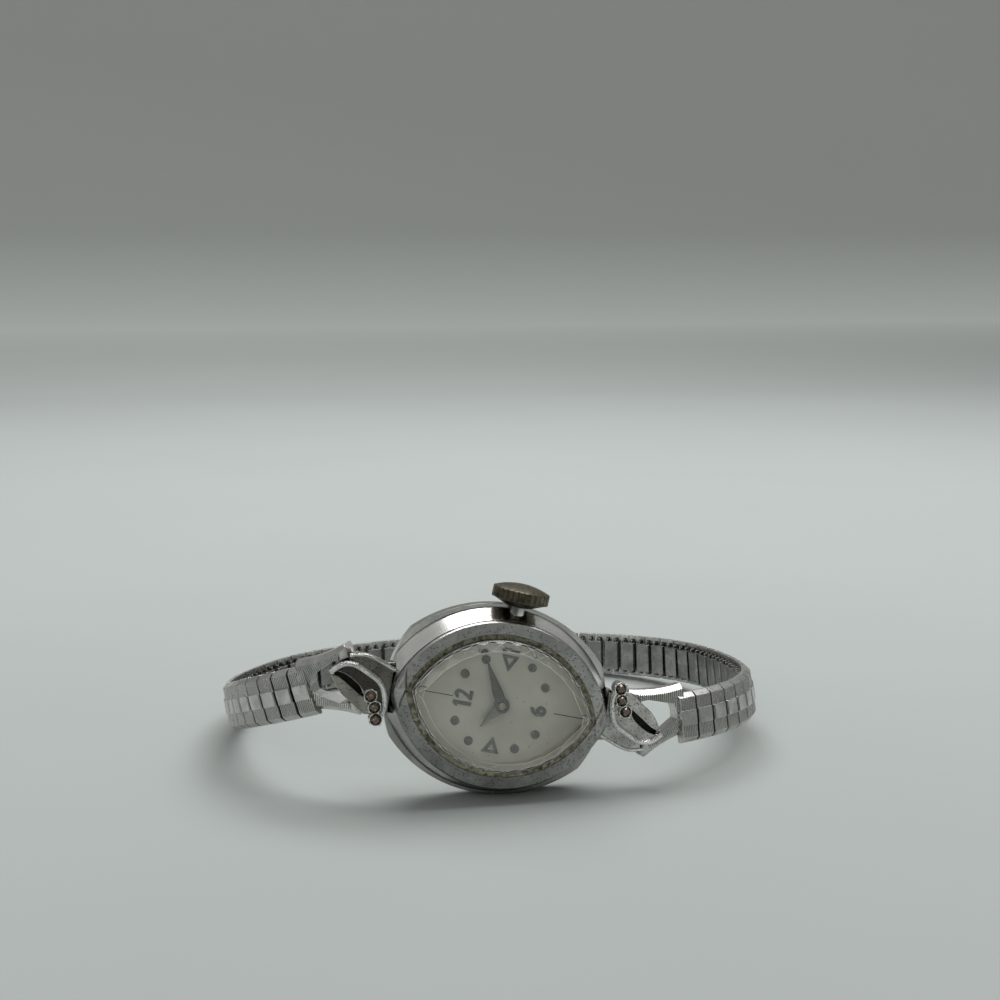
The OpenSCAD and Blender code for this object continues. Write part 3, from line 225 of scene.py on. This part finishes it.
def metal(name, light, dark, rough, grime=0.35, stain_mm=2.5, pit_share=0.0, pit_mm=0.2,
          pit_dark=0.5, grain=0.02, edge=0.05, edge_wear_and_glint=1.12, placed=HEAD, metallic=1.0,
          soot=None, nook_dirt_and_shade=0.6, levels=(), painted_shade_sides=()):
    """Metal with stains, grain, pits, edges lightened by wear and a painted highlight, and dirt and
    painted shade in its hollows.

    rough is (lowest, highest) roughness. soot is a pair of heights in the head's frame: dirt fills
    the seam at the first and thins out towards the second. levels are (height, colour) pairs in
    that frame: each colour holds from its height up to the next. The shaded spans are (from, to,
    share) along the frame's y: painted shade darkens the metal between the first and the second, by
    the share.
    """
    material = new_material(name)
    tree = material.node_tree
    at = millimetres(tree, placed)
    # One colour for dirt and for painted shade, in hollows and on shaded spans
    dirt_and_shade = shade_of(dark, DIRT_AND_SHADE_SHARE)
    stains = remap(tree, noise(tree, at, 1.0 / stain_mm, 5.0, 0.6, 0.4), *STAIN_RANGE)
    fine = noise(tree, at, FINE_PER_MM, 3.0, 0.7)
    clean = by_height(tree, at, levels) if levels else colour(light)
    base = blend(tree, maths(tree, "MULTIPLY", stains, grime), clean, colour(dark))
    base = blend(tree, maths(tree, "MULTIPLY", fine, FINE_SHARE), base, colour(dark))
    normal, edge_mask = edges(tree, edge)
    height = maths(tree, "MULTIPLY", fine, grain)
    if pit_share:
        holes = pits(tree, at, 0.5 / pit_mm, PIT_RADIUS, pit_share)
        base = blend(tree, maths(tree, "MULTIPLY", holes, pit_dark), base,
                     shade_of(dark, PIT_SHADE))
        height = maths(tree, "SUBTRACT", height, maths(tree, "MULTIPLY", holes, PIT_DEPTH))
    # Edge wear and a painted highlight: sharp edges turn towards a lighter colour
    bright = colour([min(1.0, c * edge_wear_and_glint) for c in light])
    base = blend(tree, maths(tree, "MULTIPLY", edge_mask, EDGE_WEAR_AND_GLINT_SHARE), base, bright)
    # Dirt and painted shade: the metal darkens in hollows that ambient occlusion finds
    open_air = add(tree, "ShaderNodeAmbientOcclusion", {"Distance": NOOK_REACH_MM * MM}, samples=4)
    base = blend(tree, remap(tree, open_air.outputs["AO"], *NOOK_RANGE, 0.0, nook_dirt_and_shade), base, dirt_and_shade)
    if soot:
        seam, clear = soot
        ragged = maths(tree, "ADD", axis_of(tree, at, "Z"),
                       maths(tree, "MULTIPLY", fine, SOOT_RAGGED_MM))
        shift = SOOT_RAGGED_MM / 2
        base = blend(tree, remap(tree, ragged, clear + shift, seam + shift, 0.0, SOOT_SHARE), base,
                     colour(SOOT_COLOUR))
    # Painted shade on the shaded spans: the metal darkens along the frame's y
    for start, end, share in painted_shade_sides:
        base = blend(tree, remap(tree, axis_of(tree, at, "Y"), start, end, 0.0, share), base, dirt_and_shade)
    uneven = maths(tree, "ADD", maths(tree, "MULTIPLY", stains, ROUGH_MIX),
                   maths(tree, "MULTIPLY", fine, ROUGH_MIX))
    shader = add(tree, "ShaderNodeBsdfPrincipled", {
        "Base Color": base, "Metallic": metallic,
        "Roughness": remap(tree, uneven, *ROUGH_RANGE, *rough),
        "Normal": bumps(tree, height, 0.6, 0.3, normal),
    })
    return finish_material(material, shader.outputs["BSDF"])


# The crystal's rounded facet edges: the cosines between which an edge turns to a painted white
# highlight, and how much
FACET_GLINT_COSINES = (0.9998, 0.997)
FACET_GLINT_SHARE = 0.75


def crystal_glass():
    """Scuffed crystal whose facet edges carry a painted white highlight. Light passes it without a
    shadow.
    """
    material = new_material("clear_crystal")
    tree = material.node_tree
    at = millimetres(tree, HEAD)
    scuffs = noise(tree, at, 3.0, 6.0, 0.7, 1.0)
    normal, edge_mask = edges(tree, 0.1, *FACET_GLINT_COSINES)
    glass = add(tree, "ShaderNodeBsdfPrincipled", {
        "Base Color": (0.96, 0.965, 0.95, 1.0), "IOR": 1.49, "Transmission Weight": 1.0,
        "Roughness": remap(tree, scuffs, 0.6, 0.75, 0.02, 0.12), "Normal": normal,
    })
    # Painted highlight: a white diffuse mixed in along the facet edges
    glint_white = add(tree, "ShaderNodeBsdfDiffuse", {"Color": (0.8, 0.8, 0.78, 1.0)})
    glinting_glass = add(tree, "ShaderNodeMixShader", {
        0: maths(tree, "MULTIPLY", edge_mask, FACET_GLINT_SHARE),
        1: glass.outputs["BSDF"], 2: glint_white.outputs["BSDF"],
    })
    clear = add(tree, "ShaderNodeBsdfTransparent", {"Color": (0.93, 0.93, 0.92, 1.0)})
    path = add(tree, "ShaderNodeLightPath")
    mixed = add(tree, "ShaderNodeMixShader", {
        0: path.outputs["Is Shadow Ray"], 1: glinting_glass.outputs["Shader"], 2: clear.outputs["BSDF"],
    })
    return finish_material(material, mixed.outputs["Shader"])


def stone_glass():
    """Dark brown and green stones with a few painted warm reflections."""
    material = new_material("aged_stone")
    tree = material.node_tree
    at = millimetres(tree, HEAD)
    tint = remap(tree, noise(tree, at, 1.4, 2.0), 0.35, 0.62)
    base = blend(tree, tint, (0.1, 0.05, 0.03, 1.0), (0.03, 0.04, 0.02, 1.0))
    # Painted reflection: warm orange patches in the stones' colour
    warm_reflection = remap(tree, noise(tree, at, 5.0, 1.0), 0.62, 0.7)
    base = blend(tree, warm_reflection, base, (0.55, 0.4, 0.2, 1.0))
    shader = add(tree, "ShaderNodeBsdfPrincipled", {
        "Base Color": base, "Roughness": 0.04, "IOR": 1.7, "Metallic": 0.55, "Coat Weight": 1.0,
        "Coat Roughness": 0.02,
    })
    return finish_material(material, shader.outputs["BSDF"])


# The dial: how far from its middle a painted shade darkens it to brown, and the thin lines at 12
# and 6 o'clock
DIAL_EDGE_SHADE_MM = (4.6, 9.2)
DIAL_LINE_EDGE_MM = (0.055, 0.035)
DIAL_LINE_START_MM = (5.0, 5.05)
DIAL_LINE_MIDDLE_MM = 0.35


def dial_paint():
    """Silvered dial: a soft sheen, faint brushing from 12 to 6, and painted brown shade towards the
    edge.
    """
    material = new_material("silvered_dial")
    tree = material.node_tree
    at = millimetres(tree, HEAD)
    split = add(tree, "ShaderNodeSeparateXYZ", {"Vector": at})
    brushed = add(tree, "ShaderNodeMapping", {"Vector": at, "Scale": (0.4, 9.0, 1.0)})
    hair = noise(tree, brushed.outputs["Vector"], 2.0, 4.0, 0.7)
    cloud = noise(tree, at, 0.22, 3.0, 0.5)
    base = blend(tree, remap(tree, cloud, 0.35, 0.7), (0.6, 0.59, 0.53, 1.0),
                 (0.5, 0.485, 0.42, 1.0))
    far = add(tree, "ShaderNodeVectorMath", {0: at}, operation="LENGTH").outputs["Value"]
    # Painted shade: the dial darkens to brown towards its edge, by the seat
    base = blend(tree, remap(tree, far, *DIAL_EDGE_SHADE_MM, 0.0, 0.85), base, (0.3, 0.275, 0.2, 1.0))
    specks = pits(tree, at, 1.3, 0.16, 0.35)
    base = blend(tree, maths(tree, "MULTIPLY", specks, 0.5), base, (0.2, 0.17, 0.12, 1.0))
    across = maths(tree, "ABSOLUTE", split.outputs["Y"])
    along = maths(tree, "ABSOLUTE",
                  maths(tree, "SUBTRACT", split.outputs["X"], DIAL_LINE_MIDDLE_MM))
    line = maths(tree, "MULTIPLY", remap(tree, across, *DIAL_LINE_EDGE_MM),
                 remap(tree, along, *DIAL_LINE_START_MM))
    base = blend(tree, line, base, (0.015, 0.015, 0.013, 1.0))
    sheen = maths(tree, "ADD", hair, split.outputs["X"])
    shader = add(tree, "ShaderNodeBsdfPrincipled", {
        "Base Color": base, "Metallic": 0.45,
        "Roughness": remap(tree, sheen, -2.0, 3.0, 0.42, 0.5),
        "Normal": bumps(tree, hair, 0.12, 0.05),
    })
    return finish_material(material, shader.outputs["BSDF"])


# The sweep's glow fades to this share of itself, up to this height
GLOW_TOP_SHARE = 0.58
GLOW_TOP = 0.06


def floor_paper():
    """Pale paper sweep. Only cameras and reflections see the glow of its far part."""
    material = new_material("pale_sweep")
    tree = material.node_tree
    look = bpy.context.scene.watch_stage
    coords = add(tree, "ShaderNodeTexCoord")
    split = add(tree, "ShaderNodeSeparateXYZ", {"Vector": coords.outputs["Object"]})
    mottle = noise(tree, coords.outputs["Object"], 18.0, 3.0, 0.5)
    base = blend(tree, remap(tree, mottle, 0.3, 0.7, 0.0, 0.35), colour(look.floor_colour),
                 shade_of(look.floor_colour, 0.94))
    wall = remap(tree, split.outputs["Z"], look.fade_start, look.fade_end)
    base = blend(tree, wall, base, colour(look.wall_colour))
    paper = add(tree, "ShaderNodeBsdfDiffuse", {"Color": base, "Roughness": 0.6})
    far = maths(tree, "MULTIPLY",
                remap(tree, split.outputs["Y"], look.glow_start, look.glow_end),
                remap(tree, split.outputs["Z"], 0.0, GLOW_TOP, 1.0, GLOW_TOP_SHARE))
    path = add(tree, "ShaderNodeLightPath")
    seen = maths(tree, "MAXIMUM", path.outputs["Is Camera Ray"],
                 maths(tree, "MAXIMUM", path.outputs["Is Glossy Ray"],
                       path.outputs["Is Transmission Ray"]))
    glow = add(tree, "ShaderNodeEmission", {
        "Color": colour(look.glow_colour), "Strength": maths(tree, "MULTIPLY", far, seen),
    })
    shader = add(tree, "ShaderNodeAddShader", {
        0: paper.outputs["BSDF"], 1: glow.outputs["Emission"],
    })
    return finish_material(material, shader.outputs["Shader"])


# Heights and colours of the lugs' parts: the blade, the leaf, the leaf's rim, the petal's floor,
# and the ridges and collets over them
TARNISHED_LEVELS = (
    (-0.5, (0.3, 0.29, 0.25)), (-0.03, (0.16, 0.15, 0.13)), (0.03, (0.8, 0.79, 0.75)),
    (0.1, (0.055, 0.042, 0.034)), (0.15, (0.86, 0.85, 0.81)),
)
LIGHT_LEVELS = (
    (-0.5, (0.62, 0.61, 0.57)), (-0.03, (0.5, 0.5, 0.47)), (0.03, (0.86, 0.85, 0.82)),
    (0.1, (0.46, 0.45, 0.42)), (0.15, (0.9, 0.89, 0.86)),
)


def build_finishes():
    """All the finishes by name. Colours are linear."""
    steel = Vector(bpy.context.scene.watch_look.steel_colour)
    return {
        # Bezel, flank and back get painted shade towards 9 o'clock, where the case stands; the
        # flank also a painted shadow under the crown
        "pitted_satin": metal(
            "pitted_satin_bezel", steel * 0.56, steel * 0.24, (0.24, 0.4), grime=0.5,
            stain_mm=2.2, pit_share=0.6, pit_mm=0.12, pit_dark=0.7, grain=0.05, edge=0.06,
            soot=(0.84, 1.06), painted_shade_sides=((1.0, -7.0, 0.55),)),
        "bright": metal(
            "bright_flank", steel * 1.12, steel * 0.5, (0.13, 0.24), stain_mm=2.4, grain=0.006,
            soot=(0.74, 0.6), painted_shade_sides=((8.3, 9.7, 0.85), (0.5, -3.5, 0.75))),
        "back": metal(
            "satin_back", steel * 0.8, steel * 0.4, (0.16, 0.32), grime=0.3, stain_mm=3.0,
            grain=0.012, edge=0.06, painted_shade_sides=((0.5, -3.5, 0.6),)),
        "seat": metal(
            "tarnished_seat", (0.33, 0.31, 0.24), (0.06, 0.052, 0.035), (0.22, 0.5), grime=1.0,
            stain_mm=0.6, pit_share=0.35, pit_mm=0.16, grain=0.03, edge=0.04, edge_wear_and_glint=1.2),
        "lug": metal(
            "tarnished_lug", steel * 0.66, steel * 0.1, (0.1, 0.32), grime=0.6, stain_mm=2.0,
            pit_share=0.5, pit_mm=0.11, edge=0.11, edge_wear_and_glint=1.7, nook_dirt_and_shade=0.9,
            levels=TARNISHED_LEVELS),
        "light_lug": metal(
            "pitted_lug", steel * 0.9, steel * 0.16, (0.12, 0.34), grime=0.45, stain_mm=2.0,
            pit_share=0.6, pit_mm=0.11, edge=0.11, edge_wear_and_glint=1.3, nook_dirt_and_shade=0.9,
            levels=LIGHT_LEVELS),
        # Very dark finish for the slot plates: painted shade seen through the lugs' slots
        "slot_shade": metal(
            "slot_shade_finish", (0.025, 0.023, 0.02), (0.008, 0.008, 0.007), (0.3, 0.5),
            grime=0.5, stain_mm=0.8),
        "marker": metal(
            "dark_marker", (0.18, 0.18, 0.165), (0.05, 0.05, 0.045), (0.25, 0.4), grime=0.5,
            stain_mm=0.8, grain=0.01, edge_wear_and_glint=1.6),
        "hand": metal(
            "greyed_hand", (0.3, 0.29, 0.27), (0.1, 0.1, 0.09), (0.25, 0.45), grime=0.5,
            stain_mm=0.9, edge_wear_and_glint=1.4),
        "crown": metal(
            "worn_crown", (0.2, 0.18, 0.125), (0.03, 0.026, 0.018), (0.2, 0.5), grime=0.95,
            stain_mm=0.9, pit_share=0.25, pit_mm=0.12, grain=0.05, edge=0.08, edge_wear_and_glint=1.4),
        # The stem's steel is darkened as painted shade under the crown; the bars share this finish
        "stem": metal(
            "turned_stem", (0.2, 0.2, 0.18), (0.04, 0.04, 0.035), (0.2, 0.4), grime=0.7,
            stain_mm=1.0),
        "gilt": metal(
            "gilt_plate", (0.76, 0.62, 0.33), (0.4, 0.3, 0.14), (0.2, 0.36), stain_mm=2.0),
        "wheel": metal(
            "gilt_wheel", (0.83, 0.66, 0.3), (0.5, 0.36, 0.14), (0.1, 0.24), grime=0.2,
            stain_mm=1.5),
        "works_steel": metal(
            "works_steel", (0.62, 0.62, 0.64), (0.3, 0.3, 0.32), (0.12, 0.26), grime=0.2,
            stain_mm=2.0),
        "blued": metal(
            "blued_steel", (0.07, 0.11, 0.34), (0.02, 0.03, 0.1), (0.14, 0.26), grime=0.3,
            stain_mm=1.5),
        "ruby": metal(
            "ruby_jewel", (0.55, 0.03, 0.09), (0.25, 0.01, 0.04), (0.04, 0.1), grime=0.2,
            stain_mm=1.0, metallic=0.2),
        "link": metal(
            "satin_link", steel * 0.8, steel * 0.3, (0.22, 0.38), grime=0.5, stain_mm=1.6,
            pit_share=0.12, pit_mm=0.1, grain=0.03, edge=0.06, edge_wear_and_glint=1.2, placed=None),
        "inner": metal(
            "inner_link", steel * 0.42, steel * 0.14, (0.22, 0.44), grime=0.5, stain_mm=1.4,
            pit_share=0.1, pit_mm=0.1, grain=0.03, edge=0.07, edge_wear_and_glint=1.5, placed=None),
        "crystal": crystal_glass(),
        "stone": stone_glass(),
        "dial": dial_paint(),
    }


FINISH_OF = {
    "case_middle": "bright", "bezel": "pitted_satin", "case_back": "back", "crystal": "crystal",
    "crystal_seat": "seat", "dial": "dial", "hour_markers": "marker", "hour_hand": "hand",
    "minute_hand": "hand", "crown": "crown", "winding_stem": "stem",
    "lug_12": "lug", "lug_6": "light_lug", "lug_stones": "stone", "bar_12": "stem",
    "bar_6": "stem", "movement_ring": "gilt", "main_plate": "gilt", "train_bridge": "gilt",
    "barrel_bridge": "gilt", "balance_cock": "gilt", "barrel": "wheel", "mainspring": "blued",
    "ratchet_wheel": "works_steel", "click": "works_steel", "crown_wheel": "works_steel",
    "winding_pinion": "works_steel", "clutch_pinion": "works_steel", "centre_wheel": "wheel",
    "third_wheel": "wheel", "fourth_wheel": "wheel", "escape_wheel": "wheel",
    "pallet_fork": "works_steel", "balance_wheel": "wheel", "hairspring": "blued",
    "cannon_pinion": "works_steel", "hour_wheel": "wheel", "minute_wheel": "wheel",
    "jewels": "ruby", "bridge_screws": "blued",
}
MOVEMENT_FINISHES = ("gilt", "wheel", "works_steel", "blued", "ruby")
finishes = {}


def finish_of(name):
    """The finish of a CAD node. The bracelet's nodes aren't in the list."""
    outer = name.startswith(("top_links", "end_piece"))
    return FINISH_OF.get(name, "link" if outer else "inner")


def dress(names):
    """Gives CAD nodes their finishes."""
    if not finishes:
        finishes.update(build_finishes())
    for name in names:
        piece = NODES[name]
        piece.data.materials.clear()
        piece.data.materials.append(finishes[finish_of(name)])


def object_from(shape, name):
    mesh = bpy.data.meshes.new(name)
    shape.to_mesh(mesh)
    shape.free()
    piece = bpy.data.objects.new(name, mesh)
    bpy.context.scene.collection.objects.link(piece)
    return piece


def pulled_verts(geometry):
    return [v for v in geometry if isinstance(v, bmesh.types.BMVert)]


class WatchLook(bpy.types.PropertyGroup):
    steel_colour: FloatVectorProperty(
        name="Steel colour", description="Colour of the case and bracelet metal",
        default=(0.8, 0.785, 0.75), subtype="COLOR", min=0.0, max=1.0)
    facet_point: FloatProperty(
        name="Facet point", description="How far the middle of each crystal facet stands out",
        default=0.00009, subtype="DISTANCE", unit="LENGTH")


class WatchStage(bpy.types.PropertyGroup):
    floor_colour: FloatVectorProperty(
        name="Floor colour", description="Colour of the paper sweep and of what lies behind it",
        default=(0.42, 0.447, 0.434), subtype="COLOR", min=0.0, max=1.0)
    wall_colour: FloatVectorProperty(
        name="Wall colour", description="Colour of the sweep's far wall",
        default=(0.64, 0.655, 0.635), subtype="COLOR", min=0.0, max=1.0)
    glow_colour: FloatVectorProperty(
        name="Glow colour", description="Colour added to the sweep's far part",
        default=(0.215, 0.225, 0.213), subtype="COLOR", min=0.0, max=1.0)
    glow_start: FloatProperty(
        name="Glow start", description="Depth where the added colour starts", default=0.36,
        subtype="DISTANCE", unit="LENGTH")
    glow_end: FloatProperty(
        name="Glow end", description="Depth from which the added colour is full", default=0.78,
        subtype="DISTANCE", unit="LENGTH")
    fade_start: FloatProperty(
        name="Fade start", description="Height where the wall's colour starts", default=0.03,
        subtype="DISTANCE", unit="LENGTH")
    fade_end: FloatProperty(
        name="Fade end", description="Height from which the wall's colour is full", default=0.3,
        subtype="DISTANCE", unit="LENGTH")
    floor_size: FloatProperty(
        name="Floor size", description="Width of the sweep", default=1.6,
        subtype="DISTANCE", unit="LENGTH")
    bend_radius: FloatProperty(
        name="Bend radius", description="Radius of the sweep's bend", default=0.25,
        subtype="DISTANCE", unit="LENGTH")


class WATCH_OT_case(bpy.types.Operator):
    """Finish the case, its bezel and its back"""
    bl_idname = "watch.case"
    bl_label = "Case"

    def execute(self, context):
        dress(["case_middle", "bezel", "case_back", "crystal_seat"])
        return {"FINISHED"}


class WATCH_OT_dial(bpy.types.Operator):
    """Finish the dial, its markers and the hands"""
    bl_idname = "watch.dial"
    bl_label = "Dial and hands"

    def execute(self, context):
        dress(["dial", "hour_markers", "hour_hand", "minute_hand"])
        return {"FINISHED"}


# Facets are the crystal's faces whose normal has this share along the head's z
FACET_FACING = (0.3, 0.985)
LEAST_FACETS = 12
FLAT_DEGREES = 1.5
MERGE_MM = 0.002


class WATCH_OT_crystal(bpy.types.Operator):
    """Cut the crystal's facets to low points, in place of the plain crystal"""
    bl_idname = "watch.crystal"
    bl_label = "Crystal"

    def execute(self, context):
        dress(["crystal"])
        shape = bmesh.new()
        shape.from_mesh(NODES["crystal"].data)
        bmesh.ops.remove_doubles(shape, verts=shape.verts, dist=MERGE_MM * MM)
        bmesh.ops.dissolve_limit(shape, angle_limit=math.radians(FLAT_DEGREES),
                                 verts=shape.verts, edges=shape.edges)
        out = HEAD.to_3x3() @ Vector((0.0, 0.0, 1.0))
        least, most = FACET_FACING
        facets = [face for face in shape.faces if least < face.normal.dot(out) < most]
        if len(facets) < LEAST_FACETS:
            raise RuntimeError("the crystal's facets weren't found")
        bmesh.ops.poke(shape, faces=facets, offset=context.scene.watch_look.facet_point,
                       center_mode="MEAN")
        bmesh.ops.triangulate(shape, faces=shape.faces)
        piece = object_from(shape, "cut_crystal")
        piece.data.materials.append(finishes["crystal"])
        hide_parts("crystal")
        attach(piece, "head")
        return {"FINISHED"}


class WATCH_OT_crown(bpy.types.Operator):
    """Finish the crown and its stem"""
    bl_idname = "watch.crown"
    bl_label = "Crown"

    def execute(self, context):
        dress(["crown", "winding_stem"])
        return {"FINISHED"}


class WATCH_OT_movement(bpy.types.Operator):
    """Finish the movement inside the case"""
    bl_idname = "watch.movement"
    bl_label = "Movement"

    def execute(self, context):
        dress([name for name, kind in FINISH_OF.items() if kind in MOVEMENT_FINISHES])
        return {"FINISHED"}


# The dark plate behind a lug's crescent slot, a sheet of painted shade: its outline at 12 o'clock,
# and its bottom and top
SLOT_SHADE_PLATE = (
    (-12.8, -1.0), (-13.3, -0.3), (-14.3, 0.25), (-15.2, 0.5), (-15.9, 0.5), (-16.2, 0.1),
    (-15.5, -0.5), (-14.5, -1.1), (-13.4, -1.6),
)
SLOT_SHADE_PLATE_Z = (-0.72, -0.5)


def slot_shade_plate(name, turn):
    """A very dark plate of painted shade that closes a lug's slot from behind, turned about the
    dial's middle.
    """
    low, high = SLOT_SHADE_PLATE_Z
    shape = bmesh.new()
    sheet = shape.faces.new([shape.verts.new((x * MM, y * MM, low * MM)) for x, y in SLOT_SHADE_PLATE])
    pulled = bmesh.ops.extrude_face_region(shape, geom=[sheet])["geom"]
    bmesh.ops.translate(shape, vec=(0.0, 0.0, (high - low) * MM), verts=pulled_verts(pulled))
    bmesh.ops.recalc_face_normals(shape, faces=shape.faces)
    bmesh.ops.transform(shape, matrix=HEAD @ Matrix.Rotation(turn, 4, "Z"), verts=shape.verts)
    piece = object_from(shape, name)
    piece.data.materials.append(finishes["slot_shade"])
    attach(piece, "head")


class WATCH_OT_lugs(bpy.types.Operator):
    """Finish the ornamental lugs, their stones and the bars"""
    bl_idname = "watch.lugs"
    bl_label = "Lugs"

    def execute(self, context):
        dress(["lug_12", "lug_6", "lug_stones", "bar_12", "bar_6"])
        slot_shade_plate("slot_shade_plate_12", 0.0)
        slot_shade_plate("slot_shade_plate_6", math.pi)
        return {"FINISHED"}


class WATCH_OT_bracelet(bpy.types.Operator):
    """Finish the expansion bracelet and its end pieces"""
    bl_idname = "watch.bracelet"
    bl_label = "Bracelet"

    def execute(self, context):
        dress([name for name in NODES if "_links_" in name or name.startswith("end_piece")])
        return {"FINISHED"}


BEND_STEPS = 12


def sweep_mesh(size, bend):
    """Floor, bend and wall in one sheet, by pulling an edge along its profile."""
    shape = bmesh.new()
    front, back = -size / 2, size / 2
    ends = [shape.verts.new((x, front, 0.0)) for x in (-size / 2, size / 2)]
    bar = [shape.edges.new(ends)]
    turns = [i * math.pi / (2 * BEND_STEPS) for i in range(BEND_STEPS + 1)]
    curve = [(bend * (math.sin(b) - math.sin(a)), bend * (math.cos(a) - math.cos(b)))
             for a, b in zip(turns, turns[1:])]
    for along, up in [(back - front, 0.0), *curve, (0.0, size / 2)]:
        pulled = bmesh.ops.extrude_edge_only(shape, edges=bar)["geom"]
        bmesh.ops.translate(shape, vec=(0.0, along, up), verts=pulled_verts(pulled))
        bar = [e for e in pulled if isinstance(e, bmesh.types.BMEdge)]
    bmesh.ops.recalc_face_normals(shape, faces=shape.faces)
    return shape


# Name, place, aim, size and power of each lamp
LAMPS = (
    ("top_softbox", (0.06, 0.1, 0.4), (0.0, 0.0, 0.0), (0.45, 0.28), 2.5),
    ("front_fill", (-0.25, -0.45, 0.3), (0.0, 0.0, 0.01), (0.3, 0.3), 0.35),
)

# The world lights from above and behind: the dark and light ends of its gradient, where these lie
# along z plus a share of y, and its strength
SKY_DARK = (0.06, 0.06, 0.055)
SKY_LIGHT = (1.0, 1.02, 1.02)
SKY_RANGE = (-0.35, 0.75)
SKY_LEAN = 0.45
SKY_STRENGTH = 0.36

# The photograph's viewpoint: a place in millimetres, angles in degrees, and the focal length as a
# share of the picture's width
CAMERA_AT = (-28.56, -153.34, 53.05)
CAMERA_YAW = 10.95
CAMERA_PITCH = 9.9
FOCAL_RATIO = 1.482


def area_light(name, place, aim, size, power):
    data = bpy.data.lights.new(name, "AREA")
    data.shape = "RECTANGLE"
    data.size, data.size_y = size
    data.energy = power
    lamp = bpy.data.objects.new(name, data)
    lamp.location = place
    lamp.rotation_euler = (Vector(aim) - Vector(place)).to_track_quat("-Z", "Y").to_euler()
    bpy.context.scene.collection.objects.link(lamp)


def studio_world(backdrop):
    """A grey world, lighter above and behind. The camera sees the backdrop's colour instead."""
    world = bpy.data.worlds.new("studio")
    world.use_nodes = True
    tree = world.node_tree
    toward = add(tree, "ShaderNodeTexCoord").outputs["Generated"]
    height = maths(tree, "ADD", axis_of(tree, toward, "Z"),
                   maths(tree, "MULTIPLY", axis_of(tree, toward, "Y"), SKY_LEAN))
    sky = blend(tree, remap(tree, height, *SKY_RANGE), colour(SKY_DARK), colour(SKY_LIGHT))
    path = add(tree, "ShaderNodeLightPath")
    shown = blend(tree, path.outputs["Is Camera Ray"], sky, shade_of(backdrop, 1 / SKY_STRENGTH))
    background = tree.nodes["Background"]
    tree.links.new(shown, background.inputs["Color"])
    background.inputs["Strength"].default_value = SKY_STRENGTH
    return world


def photo_camera():
    camera = bpy.data.objects.new("camera", bpy.data.cameras.new("camera"))
    bpy.context.scene.collection.objects.link(camera)
    camera.location = Vector(CAMERA_AT) * MM
    camera.rotation_euler = (math.radians(90 - CAMERA_PITCH), 0.0, math.radians(-CAMERA_YAW))
    camera.data.sensor_fit = "HORIZONTAL"
    camera.data.lens = camera.data.sensor_width * FOCAL_RATIO
    camera.data.clip_start, camera.data.clip_end = 0.005, 20.0
    return camera


class WATCH_OT_stage(bpy.types.Operator):
    """Set the sweep, the lights and the camera"""
    bl_idname = "watch.stage"
    bl_label = "Stage"

    def execute(self, context):
        scene = context.scene
        look = scene.watch_stage
        floor = object_from(sweep_mesh(look.floor_size, look.bend_radius), "sweep")
        floor.data.materials.append(floor_paper())
        for face in floor.data.polygons:
            face.use_smooth = True
        for lamp in LAMPS:
            area_light(*lamp)
        scene.world = studio_world(look.floor_colour)
        scene.camera = photo_camera()
        scene.view_settings.view_transform = "Standard"
        return {"FINISHED"}


STEPS = ("stage", "case", "dial", "crystal", "crown", "movement", "lugs", "bracelet")


class WATCH_PT_panel(bpy.types.Panel):
    """Lists the looks that can be set, and the steps in their order"""
    bl_label = "Watch"
    bl_idname = "WATCH_PT_panel"
    bl_space_type = "VIEW_3D"
    bl_region_type = "UI"
    bl_category = "Watch"

    def draw(self, context):
        layout = self.layout
        scene = context.scene
        for group, kind in ((scene.watch_look, WatchLook), (scene.watch_stage, WatchStage)):
            for name in kind.__annotations__:
                layout.prop(group, name)
        for step in STEPS:
            layout.operator("watch." + step)


CLASSES = (WatchLook, WatchStage, WATCH_OT_stage, WATCH_OT_case, WATCH_OT_dial,
           WATCH_OT_crystal, WATCH_OT_crown, WATCH_OT_movement, WATCH_OT_lugs,
           WATCH_OT_bracelet, WATCH_PT_panel)


def register():
    for item in CLASSES:
        bpy.utils.register_class(item)
    bpy.types.Scene.watch_look = PointerProperty(type=WatchLook)
    bpy.types.Scene.watch_stage = PointerProperty(type=WatchStage)


def unregister():
    del bpy.types.Scene.watch_stage
    del bpy.types.Scene.watch_look
    for item in reversed(CLASSES):
        bpy.utils.unregister_class(item)


def main():
    register()
    for step in STEPS:
        getattr(bpy.ops.watch, step)()


if __name__ == "__main__":
    main()
